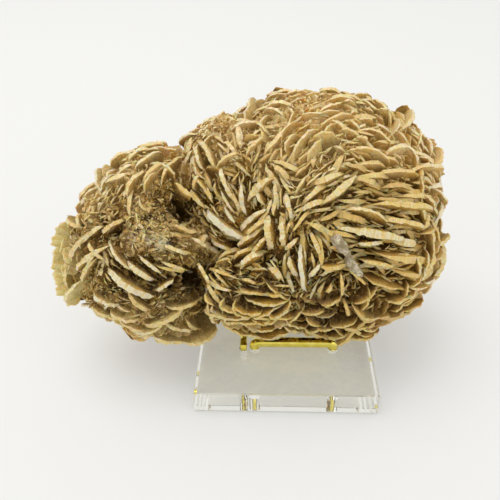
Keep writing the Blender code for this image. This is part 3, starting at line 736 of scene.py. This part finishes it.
# %% Crust
VOXEL = 1.3
LUMP = 1.5
SWELL = 2.2
PIT = 5.0
HOLLOW = 8.0
FILL = 4.6
KNOB = 1.6


def lobe_ball(centre, half):
    """A fine ball in the shape of a lobe."""
    ball = bmesh.new()
    bmesh.ops.create_icosphere(ball, subdivisions=5, radius=1.0)
    points = [(centre + ACROSS * (v.co.x * half.x) + UPWARD * (v.co.y * half.y)
               + FORWARD * (v.co.z * half.z)) * MM for v in ball.verts]
    faces = [tuple(v.index for v in f.verts) for f in ball.faces]
    ball.free()
    return points, faces


points, faces = [], []
for centre, outer in FRAMES:
    ball_points, ball_faces = lobe_ball(centre, outer - Vector((TIP_HEIGHT,) * 3))
    faces.extend(tuple(len(points) + i for i in face) for face in ball_faces)
    points.extend(ball_points)
crust_data = bpy.data.meshes.new("crust")
crust_data.from_pydata(points, [], faces)
crust = placed("crust", crust_data)
melt = crust.modifiers.new("melt", "REMESH")
melt.mode = "VOXEL"
melt.voxel_size = VOXEL * MM
graph = bpy.context.evaluated_depsgraph_get()
crust.data = bpy.data.meshes.new_from_object(crust.evaluated_get(graph))
crust.modifiers.clear()
crust.data.shade_smooth()
print("crust:", len(crust.data.polygons), "faces")

# %% [markdown]
# Every point of the crust learns which way the blades around it run
# ("grain") and which way they stand ("stand").  Near the listed blades the
# grain is their direction, blended by nearness; elsewhere it swirls with
# noise, and near the outline it follows the outline, as petals do.  Blades
# stand square to the surface, but in front they open no further from the
# eye than the listed ones.  "Front" is the side that faces the eye and
# "skirt" is the part seen at a slant.

# %% Direction and character of the crust
GUIDE_REACH = 15.0
LUMP_SCALE = 160.0
SWELL_SCALE = 62.0
KNOB_SCALE = 300.0
PIT_SCALE = 75.0
PIT_FLOOR = 0.12
SWIRL_SCALE = 55.0
SWIRL_SHIFTS = ((17.5, 6.1, 9.4), (3.9, 91.3, 8.2), (4.4, 7.7, 22.8))
FRONT_FROM = -0.30
FRONT_OVER = 0.35
SKIRT_OVER = 0.55
SKIRT_FILL = 0.35
BACK_FILL = 0.4
CRUST_SIZE = 9.0
count = len(crust.data.vertices)


def point_rows(key):
    """One three-part value of every crust point."""
    rows = np.empty(count * 3)
    crust.data.vertices.foreach_get(key, rows)
    return rows.reshape(-1, 3)


def noise_at(places, scale, shift=(0, 0, 0)):
    """Soft noise at places in metres, scale in turns a metre."""
    return np.array([noise.noise(Vector(p) * scale + Vector(shift)) for p in places])


place = point_rows("co")
normal = point_rows("normal")
lump = np.array([noise.fractal(Vector(p) * LUMP_SCALE, 1.0, 2.0, 3) for p in place])
swell = noise_at(place, SWELL_SCALE, (2, 9, 4))
knob = noise_at(place, KNOB_SCALE)
pit = np.maximum(0.0, noise_at(place, PIT_SCALE, (7, 3, 1)) - PIT_FLOOR)
eye = np.array(SIGHT_EYE) - place / MM
eye /= np.linalg.norm(eye, axis=1)[:, None]
facing = (normal * eye).sum(1)
skirt = np.clip(1.0 - np.abs(facing) / SKIRT_OVER, 0.0, 1.0)
front = np.clip((facing - FRONT_FROM) / FRONT_OVER, 0.0, 1.0)
across, down = on_sheet(place / MM)
hollow = zone_value("hollow", across, down) * (facing > 0.0)
fill = zone_value("fill", across, down) * front + BACK_FILL * (1.0 - front)
fill = np.maximum(fill * (1.0 - hollow), skirt * SKIRT_FILL)
slim = np.array([slimmer(x, y) for x, y in zip(across, down)])
coarse = zone_value("sand", across, down) * front
raised = (lump * (LUMP + fill + coarse) + knob * coarse * KNOB + swell * SWELL - pit * PIT
          - hollow * HOLLOW + fill * FILL - slim)
place = place + normal * (raised * MM)[:, None]
crust.data.vertices.foreach_set("co", place.ravel())
crust.data.update()
across, down = on_sheet(place / MM)


def unit_rows(rows):
    """Rows of vectors at length one."""
    return rows / np.maximum(np.linalg.norm(rows, axis=1), 1e-6)[:, None]


guide = np.array([[(e[0] + e[2]) / 2, (e[1] + e[3]) / 2,
                   2 * math.atan2(e[1] - e[3], e[2] - e[0])] for e in EDGE_BLADES])
gap = (across[:, None] - guide[None, :, 0]) ** 2 + (down[:, None] - guide[None, :, 1]) ** 2
weight = np.exp(-gap / (2 * GUIDE_REACH ** 2))
pull = np.stack([(weight * np.cos(guide[:, 2])).sum(1), (weight * np.sin(guide[:, 2])).sum(1)], 1)
sheet_turn = np.arctan2(pull[:, 1], pull[:, 0]) / 2
trust = np.clip(weight.sum(1) * 0.9, 0.0, 1.0) * front
led = (np.cos(sheet_turn)[:, None] * np.array(ACROSS)
       + np.sin(sheet_turn)[:, None] * np.array(UPWARD))
swirl = np.stack([noise_at(place, SWIRL_SCALE, shift) for shift in SWIRL_SHIFTS], 1)
ring = unit_rows(np.cross(normal, eye))
ring *= np.where((ring * swirl).sum(1) < 0, -1.0, 1.0)[:, None]
around = skirt * (1.0 - trust * 0.6)
grain = led * trust[:, None] * 1.2 + swirl * (1.2 - trust[:, None]) + ring * around[:, None]
grain = unit_rows(grain - normal * (grain * normal).sum(1)[:, None])
flat_eye = unit_rows(eye - grain * (eye * grain).sum(1)[:, None])
flat_out = unit_rows(normal - grain * (normal * grain).sum(1)[:, None])
angle = np.arctan2((grain * np.cross(flat_eye, flat_out)).sum(1), (flat_eye * flat_out).sum(1))
limit = math.radians(MOST_OPEN)
angle_kept = np.clip(angle, -limit, limit) * front + angle * (1.0 - front)
stand = (flat_eye * np.cos(angle_kept)[:, None]
         + np.cross(grain, flat_eye) * np.sin(angle_kept)[:, None])

around_front = {kind: zone_value(kind, across, down) * front for kind in ZONES}
sand, pale, brown = (around_front[kind] for kind in ("sand", "pale", "brown"))
nothing = np.zeros(count)
values = {kind: around_front[kind] for kind in ("sand", "bare", "amber", "glow", "chalk")}
values.update({
    "shade": pale * 0.4 - brown * 0.6, "thin": np.maximum(around_front["thin"], skirt * 0.8),
    "crumb": np.clip(0.35 + sand * 0.7 - pale * 0.8 + fill * 0.6, 0.0, 1.0),
    "fill": fill, "hollow": hollow,
    "loose": np.clip(1.05 - pale * 1.2 + sand * 0.5 + around_front["crossed"], 0.3, 1.4),
    # hollows lower the root value, which paints the crust there deep brown as shade
    "root": np.clip(0.5 + fill * 0.45 - hollow * 0.5, 0.0, 1.0),
    "rim": nothing, "run": nothing, "size": nothing + CRUST_SIZE,
    "tone": -0.2 - brown * 0.4, "grey": nothing,
})
for key, numbers in values.items():
    layer = crust.data.attributes.new(key, "FLOAT", "POINT")
    layer.data.foreach_set("value", numbers.astype(np.float32))
for key, rows in (("grain", grain), ("stand", stand)):
    layer = crust.data.attributes.new(key, "FLOAT_VECTOR", "POINT")
    layer.data.foreach_set("vector", rows.astype(np.float32).ravel())
print("crust points:", count, "led by hand-laid blades:", round(float(trust.mean()), 2))

# %% [markdown]
# A few small lenses serve as patterns for the many smaller blades: cupped
# forms, slivers, chips, and grains like crumbs of sugar.

# %% Blade forms for the scatter
def scatter_form(name, lens, cup):
    """A lens as an object for the tree to copy, cupped by some half thicknesses."""
    points = lens.points.copy()
    points[:, 2] += cup * (points[:, 0] ** 2 + CUP_OUT * points[:, 1] ** 2)
    made = mesh_object(name, points.tolist(), lens.faces, lens.values)
    made.hide_render = True
    return made


def crumb_form(name, seed):
    """A grain of sand sugar: eight faces between six uneven corners."""
    rng = random.Random(seed)
    corners = [(1, 0, 0), (-1, 0, 0), (0, 1, 0), (0, -1, 0), (0, 0, 1), (0, 0, -1)]
    corners = np.array(corners, float)
    corners *= np.array([[rng.uniform(0.7, 1.2)] for _ in corners])
    corners += np.array([[rng.uniform(-0.25, 0.25) for _ in range(3)] for _ in corners])
    sides = [(0, 2), (2, 1), (1, 3), (3, 0)]
    faces = [(a, b, 4) for a, b in sides] + [(b, a, 5) for a, b in sides]
    flat = np.zeros(6)
    values = {"rim": flat, "run": flat, "root": flat + 0.9}
    made = mesh_object(name, corners.tolist(), faces, values)
    made.hide_render = True
    return made


forms = [scatter_form(f"form_{k}", Lens(sides, (1.0,), 0.08, worn, 300 + k, 2.0 + k * 0.6), cup)
         for k, (sides, worn, cup) in enumerate(((14, 0.72, 0.4), (13, 0.64, -0.5), (15, 0.84, 0.9),
                                                 (14, 0.68, -0.9), (13, 0.90, 0.0)))]
slivers = [scatter_form(f"sliver_{k}", Lens(8, (1.0,), 0.10, worn, 400 + k), cup)
           for k, (worn, cup) in enumerate(((0.60, 0.3), (0.75, -0.4), (0.50, 0.0)))]
chips = [scatter_form(f"chip_{k}", Lens(6, (1.0,), 0.16, 0.7, 500 + k), 0.0) for k in range(2)]
crumbs = [crumb_form(f"crumb_{k}", 700 + k) for k in range(4)]
print("forms:", [len(form.data.polygons) for form in forms + slivers + chips + crumbs])

# %% [markdown]
# The smaller blades repeat over the crust, so Geometry Nodes grow them.
# The tree scatters points evenly, turns a blade on each so that its band looks
# outward and its length follows the grain, and sizes it at random.  It is
# written once with named inputs and used for every size of blade.

# %% The growing tree
class Tree:
    """A node tree being written: makes nodes and links values or sockets."""

    def __init__(self, tree):
        self.tree = tree

    def node(self, kind, settings=None, **values):
        """A node of some type, settings first, then its sockets by name or _number."""
        made = self.tree.nodes.new(kind)
        for key, setting in (settings or {}).items():
            setattr(made, key, setting)
        for key, value in values.items():
            if key.startswith("_"):
                socket = made.inputs[int(key[1:])]
            else:
                socket = made.inputs[key.replace("_", " ")]
            if isinstance(value, bpy.types.NodeSocket):
                self.tree.links.new(value, socket)
            else:
                socket.default_value = value
        return made


FLOATS = (("Apart", 0.004), ("Density", 1.0), ("Short", 0.002), ("Long", 0.005),
          ("Reach", 0.7), ("Thick", 0.2), ("Thin", 0.6), ("Sink", 0.001), ("Lean", 0.4),
          ("Stray", 0.6), ("Sandy", 0.55), ("Open", 1.0), ("Bare", 1.0), ("Buried", 1.0),
          ("Vary", 0.4))


def growing_tree(name, shapes, material):
    """Blades over a surface, as a Geometry Nodes group."""
    group = bpy.data.node_groups.new(name, "GeometryNodeTree")
    face = group.interface
    face.new_socket("Geometry", in_out="INPUT", socket_type="NodeSocketGeometry")
    for key, value in FLOATS:
        face.new_socket(key, in_out="INPUT", socket_type="NodeSocketFloat").default_value = value
    face.new_socket("Seed", in_out="INPUT", socket_type="NodeSocketInt")
    face.new_socket("Geometry", in_out="OUTPUT", socket_type="NodeSocketGeometry")
    t = Tree(group)
    given = t.node("NodeGroupInput").outputs

    def maths(operation, first, second):
        return t.node("ShaderNodeMath", {"operation": operation}, _0=first, _1=second).outputs[0]

    def times(first, second):
        return maths("MULTIPLY", first, second)

    def plus(first, second):
        return maths("ADD", first, second)

    def scaled(vector, amount):
        return t.node("ShaderNodeVectorMath", {"operation": "SCALE"}, _0=vector,
                      Scale=amount).outputs[0]

    def stored(geometry, key, value):
        kind = {"data_type": "FLOAT", "domain": "INSTANCE"}
        return t.node("GeometryNodeStoreNamedAttribute", kind, Geometry=geometry, Name=key,
                      Value=value).outputs[0]

    def named(key, kind="FLOAT"):
        return t.node("GeometryNodeInputNamedAttribute", {"data_type": kind},
                      Name=key).outputs[0]

    def chance(low, high, shift, kind="FLOAT"):
        pick = t.node("FunctionNodeRandomValue", {"data_type": kind},
                      Seed=plus(given["Seed"], float(shift)))
        ports = {"FLOAT": (2, 3, 1), "FLOAT_VECTOR": (0, 1, 0), "INT": (4, 5, 2)}[kind]
        for port, value in zip(ports, (low, high)):
            if isinstance(value, bpy.types.NodeSocket):
                t.tree.links.new(value, pick.inputs[port])
            else:
                pick.inputs[port].default_value = value
        return pick.outputs[ports[2]]

    def strayed(key, shift, amount):
        stray = scaled(chance((-1, -1, -1), (1, 1, 1), shift, "FLOAT_VECTOR"), amount)
        return t.node("ShaderNodeVectorMath", {"operation": "ADD"},
                      _0=named(key, "FLOAT_VECTOR"), _1=stray).outputs[0]

    def ranged(key, low, high, start, end):
        return t.node("ShaderNodeMapRange", None, Value=named(key), From_Min=low, From_Max=high,
                      To_Min=start, To_Max=end).outputs[0]

    share = times(times(ranged("crumb", 0.0, 1.0, given["Open"], 1.0),
                        ranged("bare", 0.1, 0.7, 1.0, given["Bare"])),
                  ranged("hollow", 0.25, 0.75, 1.0, 0.1))
    spread = t.node("GeometryNodeDistributePointsOnFaces", {"distribute_method": "POISSON"},
                    Mesh=given["Geometry"], Distance_Min=given["Apart"],
                    Density_Max=given["Density"], Seed=given["Seed"], Density_Factor=share)
    lowered = t.node("GeometryNodeSetPosition", Geometry=spread.outputs[0],
                     Offset=scaled(spread.outputs["Normal"], times(given["Sink"], -1.0)))
    loose = named("loose")
    upright = t.node("FunctionNodeAlignRotationToVector", {"axis": "Y"},
                     Vector=strayed("stand", 12, times(given["Lean"], loose)))
    swing = t.node("FunctionNodeAlignRotationToVector", {"axis": "X", "pivot_axis": "Y"},
                   Rotation=upright.outputs[0],
                   Vector=strayed("grain", 11, times(given["Stray"], loose)))
    sandy = ranged("sand", 0.0, 1.0, 1.0, given["Sandy"])
    thinner = ranged("thin", 0.0, 1.0, 1.0, given["Thin"])
    luck = maths("POWER", chance(0.0, 1.0, 13), 2.0)
    more = maths("SUBTRACT", given["Long"], given["Short"])
    long = times(plus(given["Short"], times(luck, more)), sandy)
    thick = times(times(times(long, given["Thick"]), thinner), chance(0.6, 1.4, 17))
    reach = times(times(long, given["Reach"]), ranged("fill", 0.0, 1.0, 1.0, given["Buried"]))
    size = t.node("ShaderNodeCombineXYZ", None, X=long, Y=times(reach, chance(0.75, 1.25, 16)),
                  Z=thick)
    bundle = t.node("GeometryNodeJoinGeometry")
    for shape in shapes:
        source = t.node("GeometryNodeObjectInfo", None, Object=shape)
        one = t.node("GeometryNodeGeometryToInstance", None, Geometry=source.outputs["Geometry"])
        t.tree.links.new(one.outputs[0], bundle.inputs[0])
    grown = t.node("GeometryNodeInstanceOnPoints", None, Points=lowered.outputs[0],
                   Instance=bundle.outputs[0], Pick_Instance=True,
                   Instance_Index=chance(0, len(shapes) - 1, 14, "INT"),
                   Rotation=swing.outputs[0], Scale=size.outputs[0])
    varied = chance(times(given["Vary"], -1.0), given["Vary"], 15)
    toned = stored(grown.outputs[0], "tone", plus(varied, named("shade")))
    sized = stored(toned, "size", times(long, 1.0 / MM))
    real = t.node("GeometryNodeRealizeInstances", None, Geometry=sized)
    coat = t.node("GeometryNodeSetMaterial", None, Geometry=real.outputs[0], Material=material)
    end = t.node("NodeGroupOutput")
    t.tree.links.new(coat.outputs[0], end.inputs[0])
    return group


# %% [markdown]
# Shader maths reads best as plain sums.  A small class wraps a socket and
# turns +, -, * into Math nodes; colours go through Mix nodes.

# %% Shader helper
class Value:
    """A number socket that can be added, taken away and multiplied."""

    def __init__(self, maker, socket):
        self.maker, self.socket = maker, socket

    def math(self, operation, other, reverse=False):
        """One Math node on this value and another."""
        other = other.socket if isinstance(other, Value) else other
        first, second = (other, self.socket) if reverse else (self.socket, other)
        made = self.maker.node("ShaderNodeMath", {"operation": operation}, _0=first, _1=second)
        return Value(self.maker, made.outputs[0])

    def __add__(self, other):
        return self.math("ADD", other)

    def __radd__(self, other):
        return self.math("ADD", other, True)

    def __sub__(self, other):
        return self.math("SUBTRACT", other)

    def __rsub__(self, other):
        return self.math("SUBTRACT", other, True)

    def __mul__(self, other):
        return self.math("MULTIPLY", other)

    def __rmul__(self, other):
        return self.math("MULTIPLY", other, True)

    def ramp(self, low, high, start=0.0, end=1.0):
        """Goes smoothly from start to end as this value goes from low to high."""
        made = self.maker.node("ShaderNodeMapRange", {"interpolation_type": "SMOOTHSTEP"},
                               Value=self.socket, From_Min=low, From_Max=high,
                               To_Min=start, To_Max=end)
        return Value(self.maker, made.outputs[0])


class Shader(Tree):
    """A material being written."""

    def __init__(self, name):
        self.material = bpy.data.materials.new(name)
        self.material.use_nodes = True
        super().__init__(self.material.node_tree)
        self.tree.nodes.clear()
        self.end = self.node("ShaderNodeOutputMaterial")
        self.place = self.node("ShaderNodeTexCoord").outputs["Object"]

    def value(self, socket):
        """A socket as a value for sums."""
        return Value(self, socket)

    def attribute(self, name):
        """A named value of the mesh."""
        return self.value(self.node("ShaderNodeAttribute", {"attribute_name": name}).outputs["Fac"])

    def noise(self, scale, detail=4.0, rough=0.55):
        """Noise over the object's own coordinates, scale in turns a metre."""
        made = self.node("ShaderNodeTexNoise", None, Vector=self.place, Scale=scale,
                         Detail=detail, Roughness=rough)
        return self.value(made.outputs[0])

    def mix(self, amount, first, second):
        """Between two colours by an amount."""
        amount = amount.socket if isinstance(amount, Value) else amount
        made = self.node("ShaderNodeMix", {"data_type": "RGBA"}, _0=amount, _6=first, _7=second)
        return made.outputs[2]

    def principled(self, **values):
        """The one shader, linked to the output."""
        made = self.node("ShaderNodeBsdfPrincipled", None, **values)
        self.tree.links.new(made.outputs[0], self.end.inputs[0])
        return made


# %% [markdown]
# Sand rose colours: roots are brown with trapped sand and with painted shade,
# faces are golden, and the worn bands are cream where the sand is rubbed off,
# with painted highlights in their palest streaks.  Deep gaps are painted dark
# as shade, and thin plates are painted paler for the light that comes through
# them.  Honey plates mix in amber.  Fine ribs run across each blade from its
# root to its band, and grains of sand roughen everything; cream specks among
# them are painted glints.  Gypsum lets some light in, so the light is
# scattered a little under its surface, and a faint warm light of its own
# stands in for what shines through the thin plates.  A thin clear coat gives
# worn bands their gloss.

# %% Gypsum material
HOLLOW_SHADE = (0.035, 0.016, 0.002, 1)
DEEP_BROWN_AND_SHADE = (0.060, 0.022, 0.002, 1)
GOLD = (0.700, 0.365, 0.038, 1)
TAN = (0.860, 0.540, 0.100, 1)
RUST_AND_SHADE = (0.360, 0.150, 0.020, 1)
BAND = (0.980, 0.715, 0.205, 1)
CREAM_AND_PAINTED_LIGHT = (1.000, 0.890, 0.660, 1)
HONEY = (0.860, 0.660, 0.200, 1)
PALE_HONEY = (0.990, 0.890, 0.430, 1)
SUGAR_AND_GLOW = (0.940, 0.760, 0.430, 1)
SANDY = (0.930, 0.680, 0.270, 1)
GREY = (0.400, 0.315, 0.185, 1)
CHALK = (0.980, 0.910, 0.700, 1)
SEEN_THROUGH = (0.900, 0.500, 0.080, 1)
INNER_LIGHT = 0.5
INNER_REACH = 0.0008
THROUGH_LIGHT = 0.06
RELIEF = 0.0007
GLOSS = 0.22


def gypsum(name):
    """Blade gypsum: darker at the root, partly painted shade; cream on the worn band, partly
    painted highlight.
    """
    s = Shader(name)
    rim, root, run, size = (s.attribute(key) for key in ("rim", "root", "run", "size"))
    tone, amber, sand, grey, glow = (s.attribute(key) for key in FACTS)
    broad = s.noise(110.0, 3.0)
    blot = s.noise(300.0, 3.0, 0.6)
    streak = s.noise(520.0, 4.0, 0.6)
    speck = s.noise(2400.0, 2.0, 0.6)
    ribs = s.value(s.node("ShaderNodeTexNoise", {"noise_dimensions": "1D"}, W=(run * size).socket,
                          Scale=0.9, Detail=3.0, Roughness=0.7).outputs[0])
    # faces: gold and tan, honey where they are amber; painted light: sugary and cream where thin
    # plates glow
    base = s.mix((broad * 0.4 + ribs * 0.6).ramp(0.36, 0.60), GOLD, TAN)
    base = s.mix(glow * (broad * 0.6 + blot * 0.4).ramp(0.42, 0.56, 0.3, 0.95), base, SUGAR_AND_GLOW)
    base = s.mix(glow * tone.ramp(0.3, 1.1, 0.0, 0.6), base, CREAM_AND_PAINTED_LIGHT)
    honey = s.mix((ribs * 0.6 + streak * 0.4).ramp(0.40, 0.58), HONEY, PALE_HONEY)
    base = s.mix(amber * 0.8, base, honey)
    base = s.mix(tone.ramp(0.3, 1.1, 0.0, 0.30), base, BAND)
    base = s.mix(tone.ramp(-0.2, -0.9, 0.0, 0.6), base, RUST_AND_SHADE)
    # roots: rust, then deep brown, partly trapped sand and partly painted shade where blades sink
    # into the crust; thin plates stay clear
    clear = 1.0 - glow * 0.92
    base = s.mix(root.ramp(1.0, 0.72, 0.0, 0.45) * clear, base, RUST_AND_SHADE)
    base = s.mix(root.ramp(0.96, 0.58, 0.0, 0.95) * clear, base, DEEP_BROWN_AND_SHADE)
    # trapped sand: dark and sandy lumps, away from the worn band
    edge = (1.0 - rim) * size + (streak - 0.5)
    lit = edge.ramp(0.36, 0.06) * root.ramp(0.50, 0.72) * (1.0 - sand * 0.2)
    base = s.mix(blot.ramp(0.50, 0.64) * (sand * 0.35 + 0.25) * (1.0 - lit) * (1.0 - glow * 0.8),
                 base, RUST_AND_SHADE)
    lumps = broad * 0.4 + blot * 0.6
    base = s.mix(sand * lumps.ramp(0.54, 0.44) * 0.95, base, DEEP_BROWN_AND_SHADE)
    base = s.mix(sand * lumps.ramp(0.49, 0.55), base, SANDY)
    # the worn band, pale from wear; its palest cream streaks are painted highlight
    lit = lit * (streak * 0.5 + ribs * 0.5).ramp(0.32, 0.55, 0.65, 1.0) * (1.0 - glow * 0.1)
    band = s.mix(glow * 0.7, BAND, SUGAR_AND_GLOW)
    base = s.mix(lit * (tone * 0.45 + 0.80), base, band)
    # painted highlight: cream patches along the band
    worn = (ribs * 0.4 + streak * 0.3 + speck * 0.3 + tone * 0.12).ramp(0.48, 0.60) * lit
    base = s.mix(worn * (tone * 0.4 + 0.70) * size.ramp(1.5, 5.0, 0.45, 1.0), base, CREAM_AND_PAINTED_LIGHT)
    # the grey shard, grains, painted glints, painted shade in deep gaps and white spots
    base = s.mix(grey, base, GREY)
    base = s.mix(grey * (speck * 0.5 + streak * 0.5).ramp(0.47, 0.56) * 0.8, base, CREAM_AND_PAINTED_LIGHT)
    grit = speck.ramp(0.52, 0.60) * (0.5 + sand * 0.4) * (1.0 - lit * 0.9) * (1.0 - glow * 0.6)
    base = s.mix(grit * 0.85, base, DEEP_BROWN_AND_SHADE)
    # painted glints: small cream specks stand in for sparkle
    glint = speck.ramp(0.45, 0.38) * (root * 0.2 + sand * 0.35)
    base = s.mix(glint * 0.8, base, CREAM_AND_PAINTED_LIGHT)
    # painted shade: deep gaps are painted near black
    base = s.mix(s.attribute("hollow").ramp(0.25, 0.8, 0.0, 0.92), base, HOLLOW_SHADE)
    base = s.mix(s.attribute("chalk") * streak.ramp(0.40, 0.52), base, CHALK)
    # relief and light
    relief = (ribs * (glow * 0.8 + amber * 1.4 + 0.7)
              + (speck * 0.9 + streak * 1.2) * (1.3 - glow * 0.5))
    through = s.mix(glow * 0.9, (0.0, 0.0, 0.0, 1), SEEN_THROUGH)
    through = s.mix(amber.ramp(0.5, 1.0), through, honey)
    bump = s.node("ShaderNodeBump", None, Strength=0.9, Distance=RELIEF, Height=relief.socket)
    shine = lit * 0.9 + amber * 0.3 + glow * speck.ramp(0.42, 0.36) * 0.8
    s.principled(Base_Color=base, Coat_Weight=shine.ramp(0.0, 1.0).socket, Coat_Roughness=GLOSS,
                 Roughness=streak.ramp(0.3, 0.7, 0.25, 0.5).socket, Normal=bump.outputs[0],
                 Specular_IOR_Level=0.04, Subsurface_Weight=INNER_LIGHT,
                 Subsurface_Radius=(1.0, 0.45, 0.10), Subsurface_Scale=INNER_REACH,
                 Emission_Color=through, Emission_Strength=THROUGH_LIGHT)
    return s.material


blade_gypsum = gypsum("blade_gypsum")
main_blades.data.materials.append(blade_gypsum)
crust.data.materials.append(blade_gypsum)
print("gypsum nodes:", len(blade_gypsum.node_tree.nodes))

# %% [markdown]
# Each size of blade is grown over the crust in turn, from the mid-sized ones
# to the sugary grains between them, and dust lies on the listed blades.
# The least distance between them ("Apart") alone says how close they stand,
# because a few spots are tried for each.

# %% Grow the blades
PER_APART = 4.0


def grow(name, ground, shapes, seed, **inputs):
    """One size of blade grown over some ground and kept as plain mesh."""
    inputs["Density"] = PER_APART / inputs["Apart"] ** 2
    group = growing_tree(name + "_tree", shapes, blade_gypsum)
    made = placed(name, ground.data.copy())
    change = made.modifiers.new("grow", "NODES")
    change.node_group = group
    inputs["Seed"] = seed
    for item in group.interface.items_tree:
        if item.in_out == "INPUT" and item.name in inputs:
            change[item.identifier] = inputs[item.name]
    graph = bpy.context.evaluated_depsgraph_get()
    made.data = bpy.data.meshes.new_from_object(made.evaluated_get(graph))
    made.modifiers.clear()
    made.data.set_sharp_from_angle(angle=SHARP_ANGLE)
    triangles = sum(len(p.vertices) - 2 for p in made.data.polygons)
    print(name, "triangles:", triangles)
    return made


mid_blades = grow("mid_blades", crust, forms, 5, Apart=0.0023, Short=0.0022, Long=0.0075,
                  Reach=0.80, Thick=0.17, Thin=0.5, Sink=-0.0010, Lean=0.5, Stray=0.55,
                  Sandy=0.6, Open=1.0, Bare=0.10, Buried=0.6)
small_blades = grow("small_blades", crust, slivers, 6, Apart=0.0018, Short=0.0010, Long=0.0036,
                    Reach=1.10, Thick=0.15, Thin=0.5, Sink=-0.0010, Lean=0.8, Stray=0.9,
                    Sandy=0.55, Open=0.5, Bare=0.35, Buried=0.7)
flakes = grow("flakes", crust, chips, 8, Apart=0.0014, Short=0.0005, Long=0.0021, Reach=1.3,
              Thick=0.42, Thin=0.7, Sink=-0.0010, Lean=1.2, Stray=1.3, Sandy=0.8, Open=0.2,
              Bare=1.0, Buried=1.0, Vary=1.2)
grains = grow("grains", crust, crumbs, 7, Apart=0.0008, Short=0.0004, Long=0.0018, Reach=1.0,
              Thick=0.9, Thin=1.0, Sink=-0.0004, Lean=1.3, Stray=1.5, Sandy=1.2, Open=0.1,
              Vary=0.9)
dust = grow("dust", main_blades, crumbs, 9, Apart=0.0014, Short=0.0002, Long=0.0006, Reach=1.0,
            Thick=0.8, Thin=1.0, Sink=0.0, Lean=1.3, Stray=1.5, Sandy=1.0, Open=0.05, Vary=0.9)
for form in forms + slivers + chips + crumbs:
    bpy.data.objects.remove(form, do_unlink=True)

# %% [markdown]
# The stand's own pieces keep their modelled shape and only get better
# materials: bright polished brass and clear acrylic.

# %% Brass and acrylic
s = Shader("polished_brass")
haze = s.noise(300.0, 3.0)
s.principled(Base_Color=s.mix(haze.ramp(0.35, 0.7), (0.80, 0.66, 0.10, 1), (0.92, 0.79, 0.20, 1)),
             Roughness=haze.ramp(0.3, 0.7, 0.03, 0.07).socket, Metallic=1.0)
brass = s.material
s = Shader("clear_acrylic")
wipe = s.noise(40.0, 2.0)
s.principled(Base_Color=(0.965, 0.965, 0.91, 1), Roughness=wipe.ramp(0.4, 0.8, 0.0, 0.02).socket,
             IOR=1.49, Transmission_Weight=1.0)
acrylic = s.material
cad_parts["acrylic_base"].cycles.is_caustics_caster = True
for node, coat in (("acrylic_base", acrylic), ("front_rest", brass), ("back_arm_left", brass),
                   ("back_arm_right", brass)):
    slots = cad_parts[node].data.materials
    for k in range(len(slots)):
        slots[k] = coat
    print(node, len(slots))

# %% [markdown]
# The dressed pieces stand for the solid rose and ride on the one body.

# %% Place on the frame
for piece in (crust, main_blades, mid_blades, small_blades, flakes, grains, dust):
    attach(piece, "root")
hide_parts("sand_rose")

# %% [markdown]
# A plain pale floor and soft studio light: one large soft light above, a
# weaker one on the right, and a bright even surround.  The floor gives back a
# little light of its own, as a white room would.  The clear block needs more
# bounces than usual and caustics, or its inside turns grey.

# %% Floor and light
FLOOR = -0.0003
FLOOR_LIGHT = 0.265
SURROUND = 0.80
CLEAR_BOUNCES = 16
ALL_BOUNCES = 24
floor_data = bpy.data.meshes.new("floor")
floor_data.from_pydata([(-2, -2, FLOOR), (2, -2, FLOOR), (2, 3, FLOOR), (-2, 3, FLOOR)],
                       [], [(0, 1, 2, 3)])
floor = placed("floor", floor_data)
s = Shader("pale_floor")
s.principled(Base_Color=(0.58, 0.58, 0.57, 1), Roughness=0.7, Emission_Color=(1.0, 1.0, 0.98, 1),
             Emission_Strength=FLOOR_LIGHT)
floor.data.materials.append(s.material)
floor.cycles.is_caustics_receiver = True

world = bpy.data.worlds.new("surround")
world.use_nodes = True
world.node_tree.nodes["Background"].inputs[0].default_value = (1.0, 0.995, 0.98, 1)
world.node_tree.nodes["Background"].inputs[1].default_value = SURROUND
bpy.context.scene.world = world
bpy.context.scene.view_settings.view_transform = "Standard"
bpy.context.scene.cycles.glossy_bounces = CLEAR_BOUNCES
bpy.context.scene.cycles.transmission_bounces = CLEAR_BOUNCES
bpy.context.scene.cycles.max_bounces = ALL_BOUNCES


def soft_light(name, place, size, power):
    """A square soft light aimed at the rose."""
    data = bpy.data.lights.new(name, "AREA")
    data.size = size
    data.energy = power
    data.cycles.is_caustics_light = True
    made = placed(name, data)
    aim = Vector((0, 0.01, 0.06)) - Vector(place)
    made.matrix_world = (Matrix.Translation(place)
                         @ aim.to_track_quat("-Z", "Y").to_matrix().to_4x4())


soft_light("key", (-0.40, 0.20, 1.50), 1.0, 8.2)
soft_light("fill", (0.55, -0.35, 0.45), 0.5, 0.3)
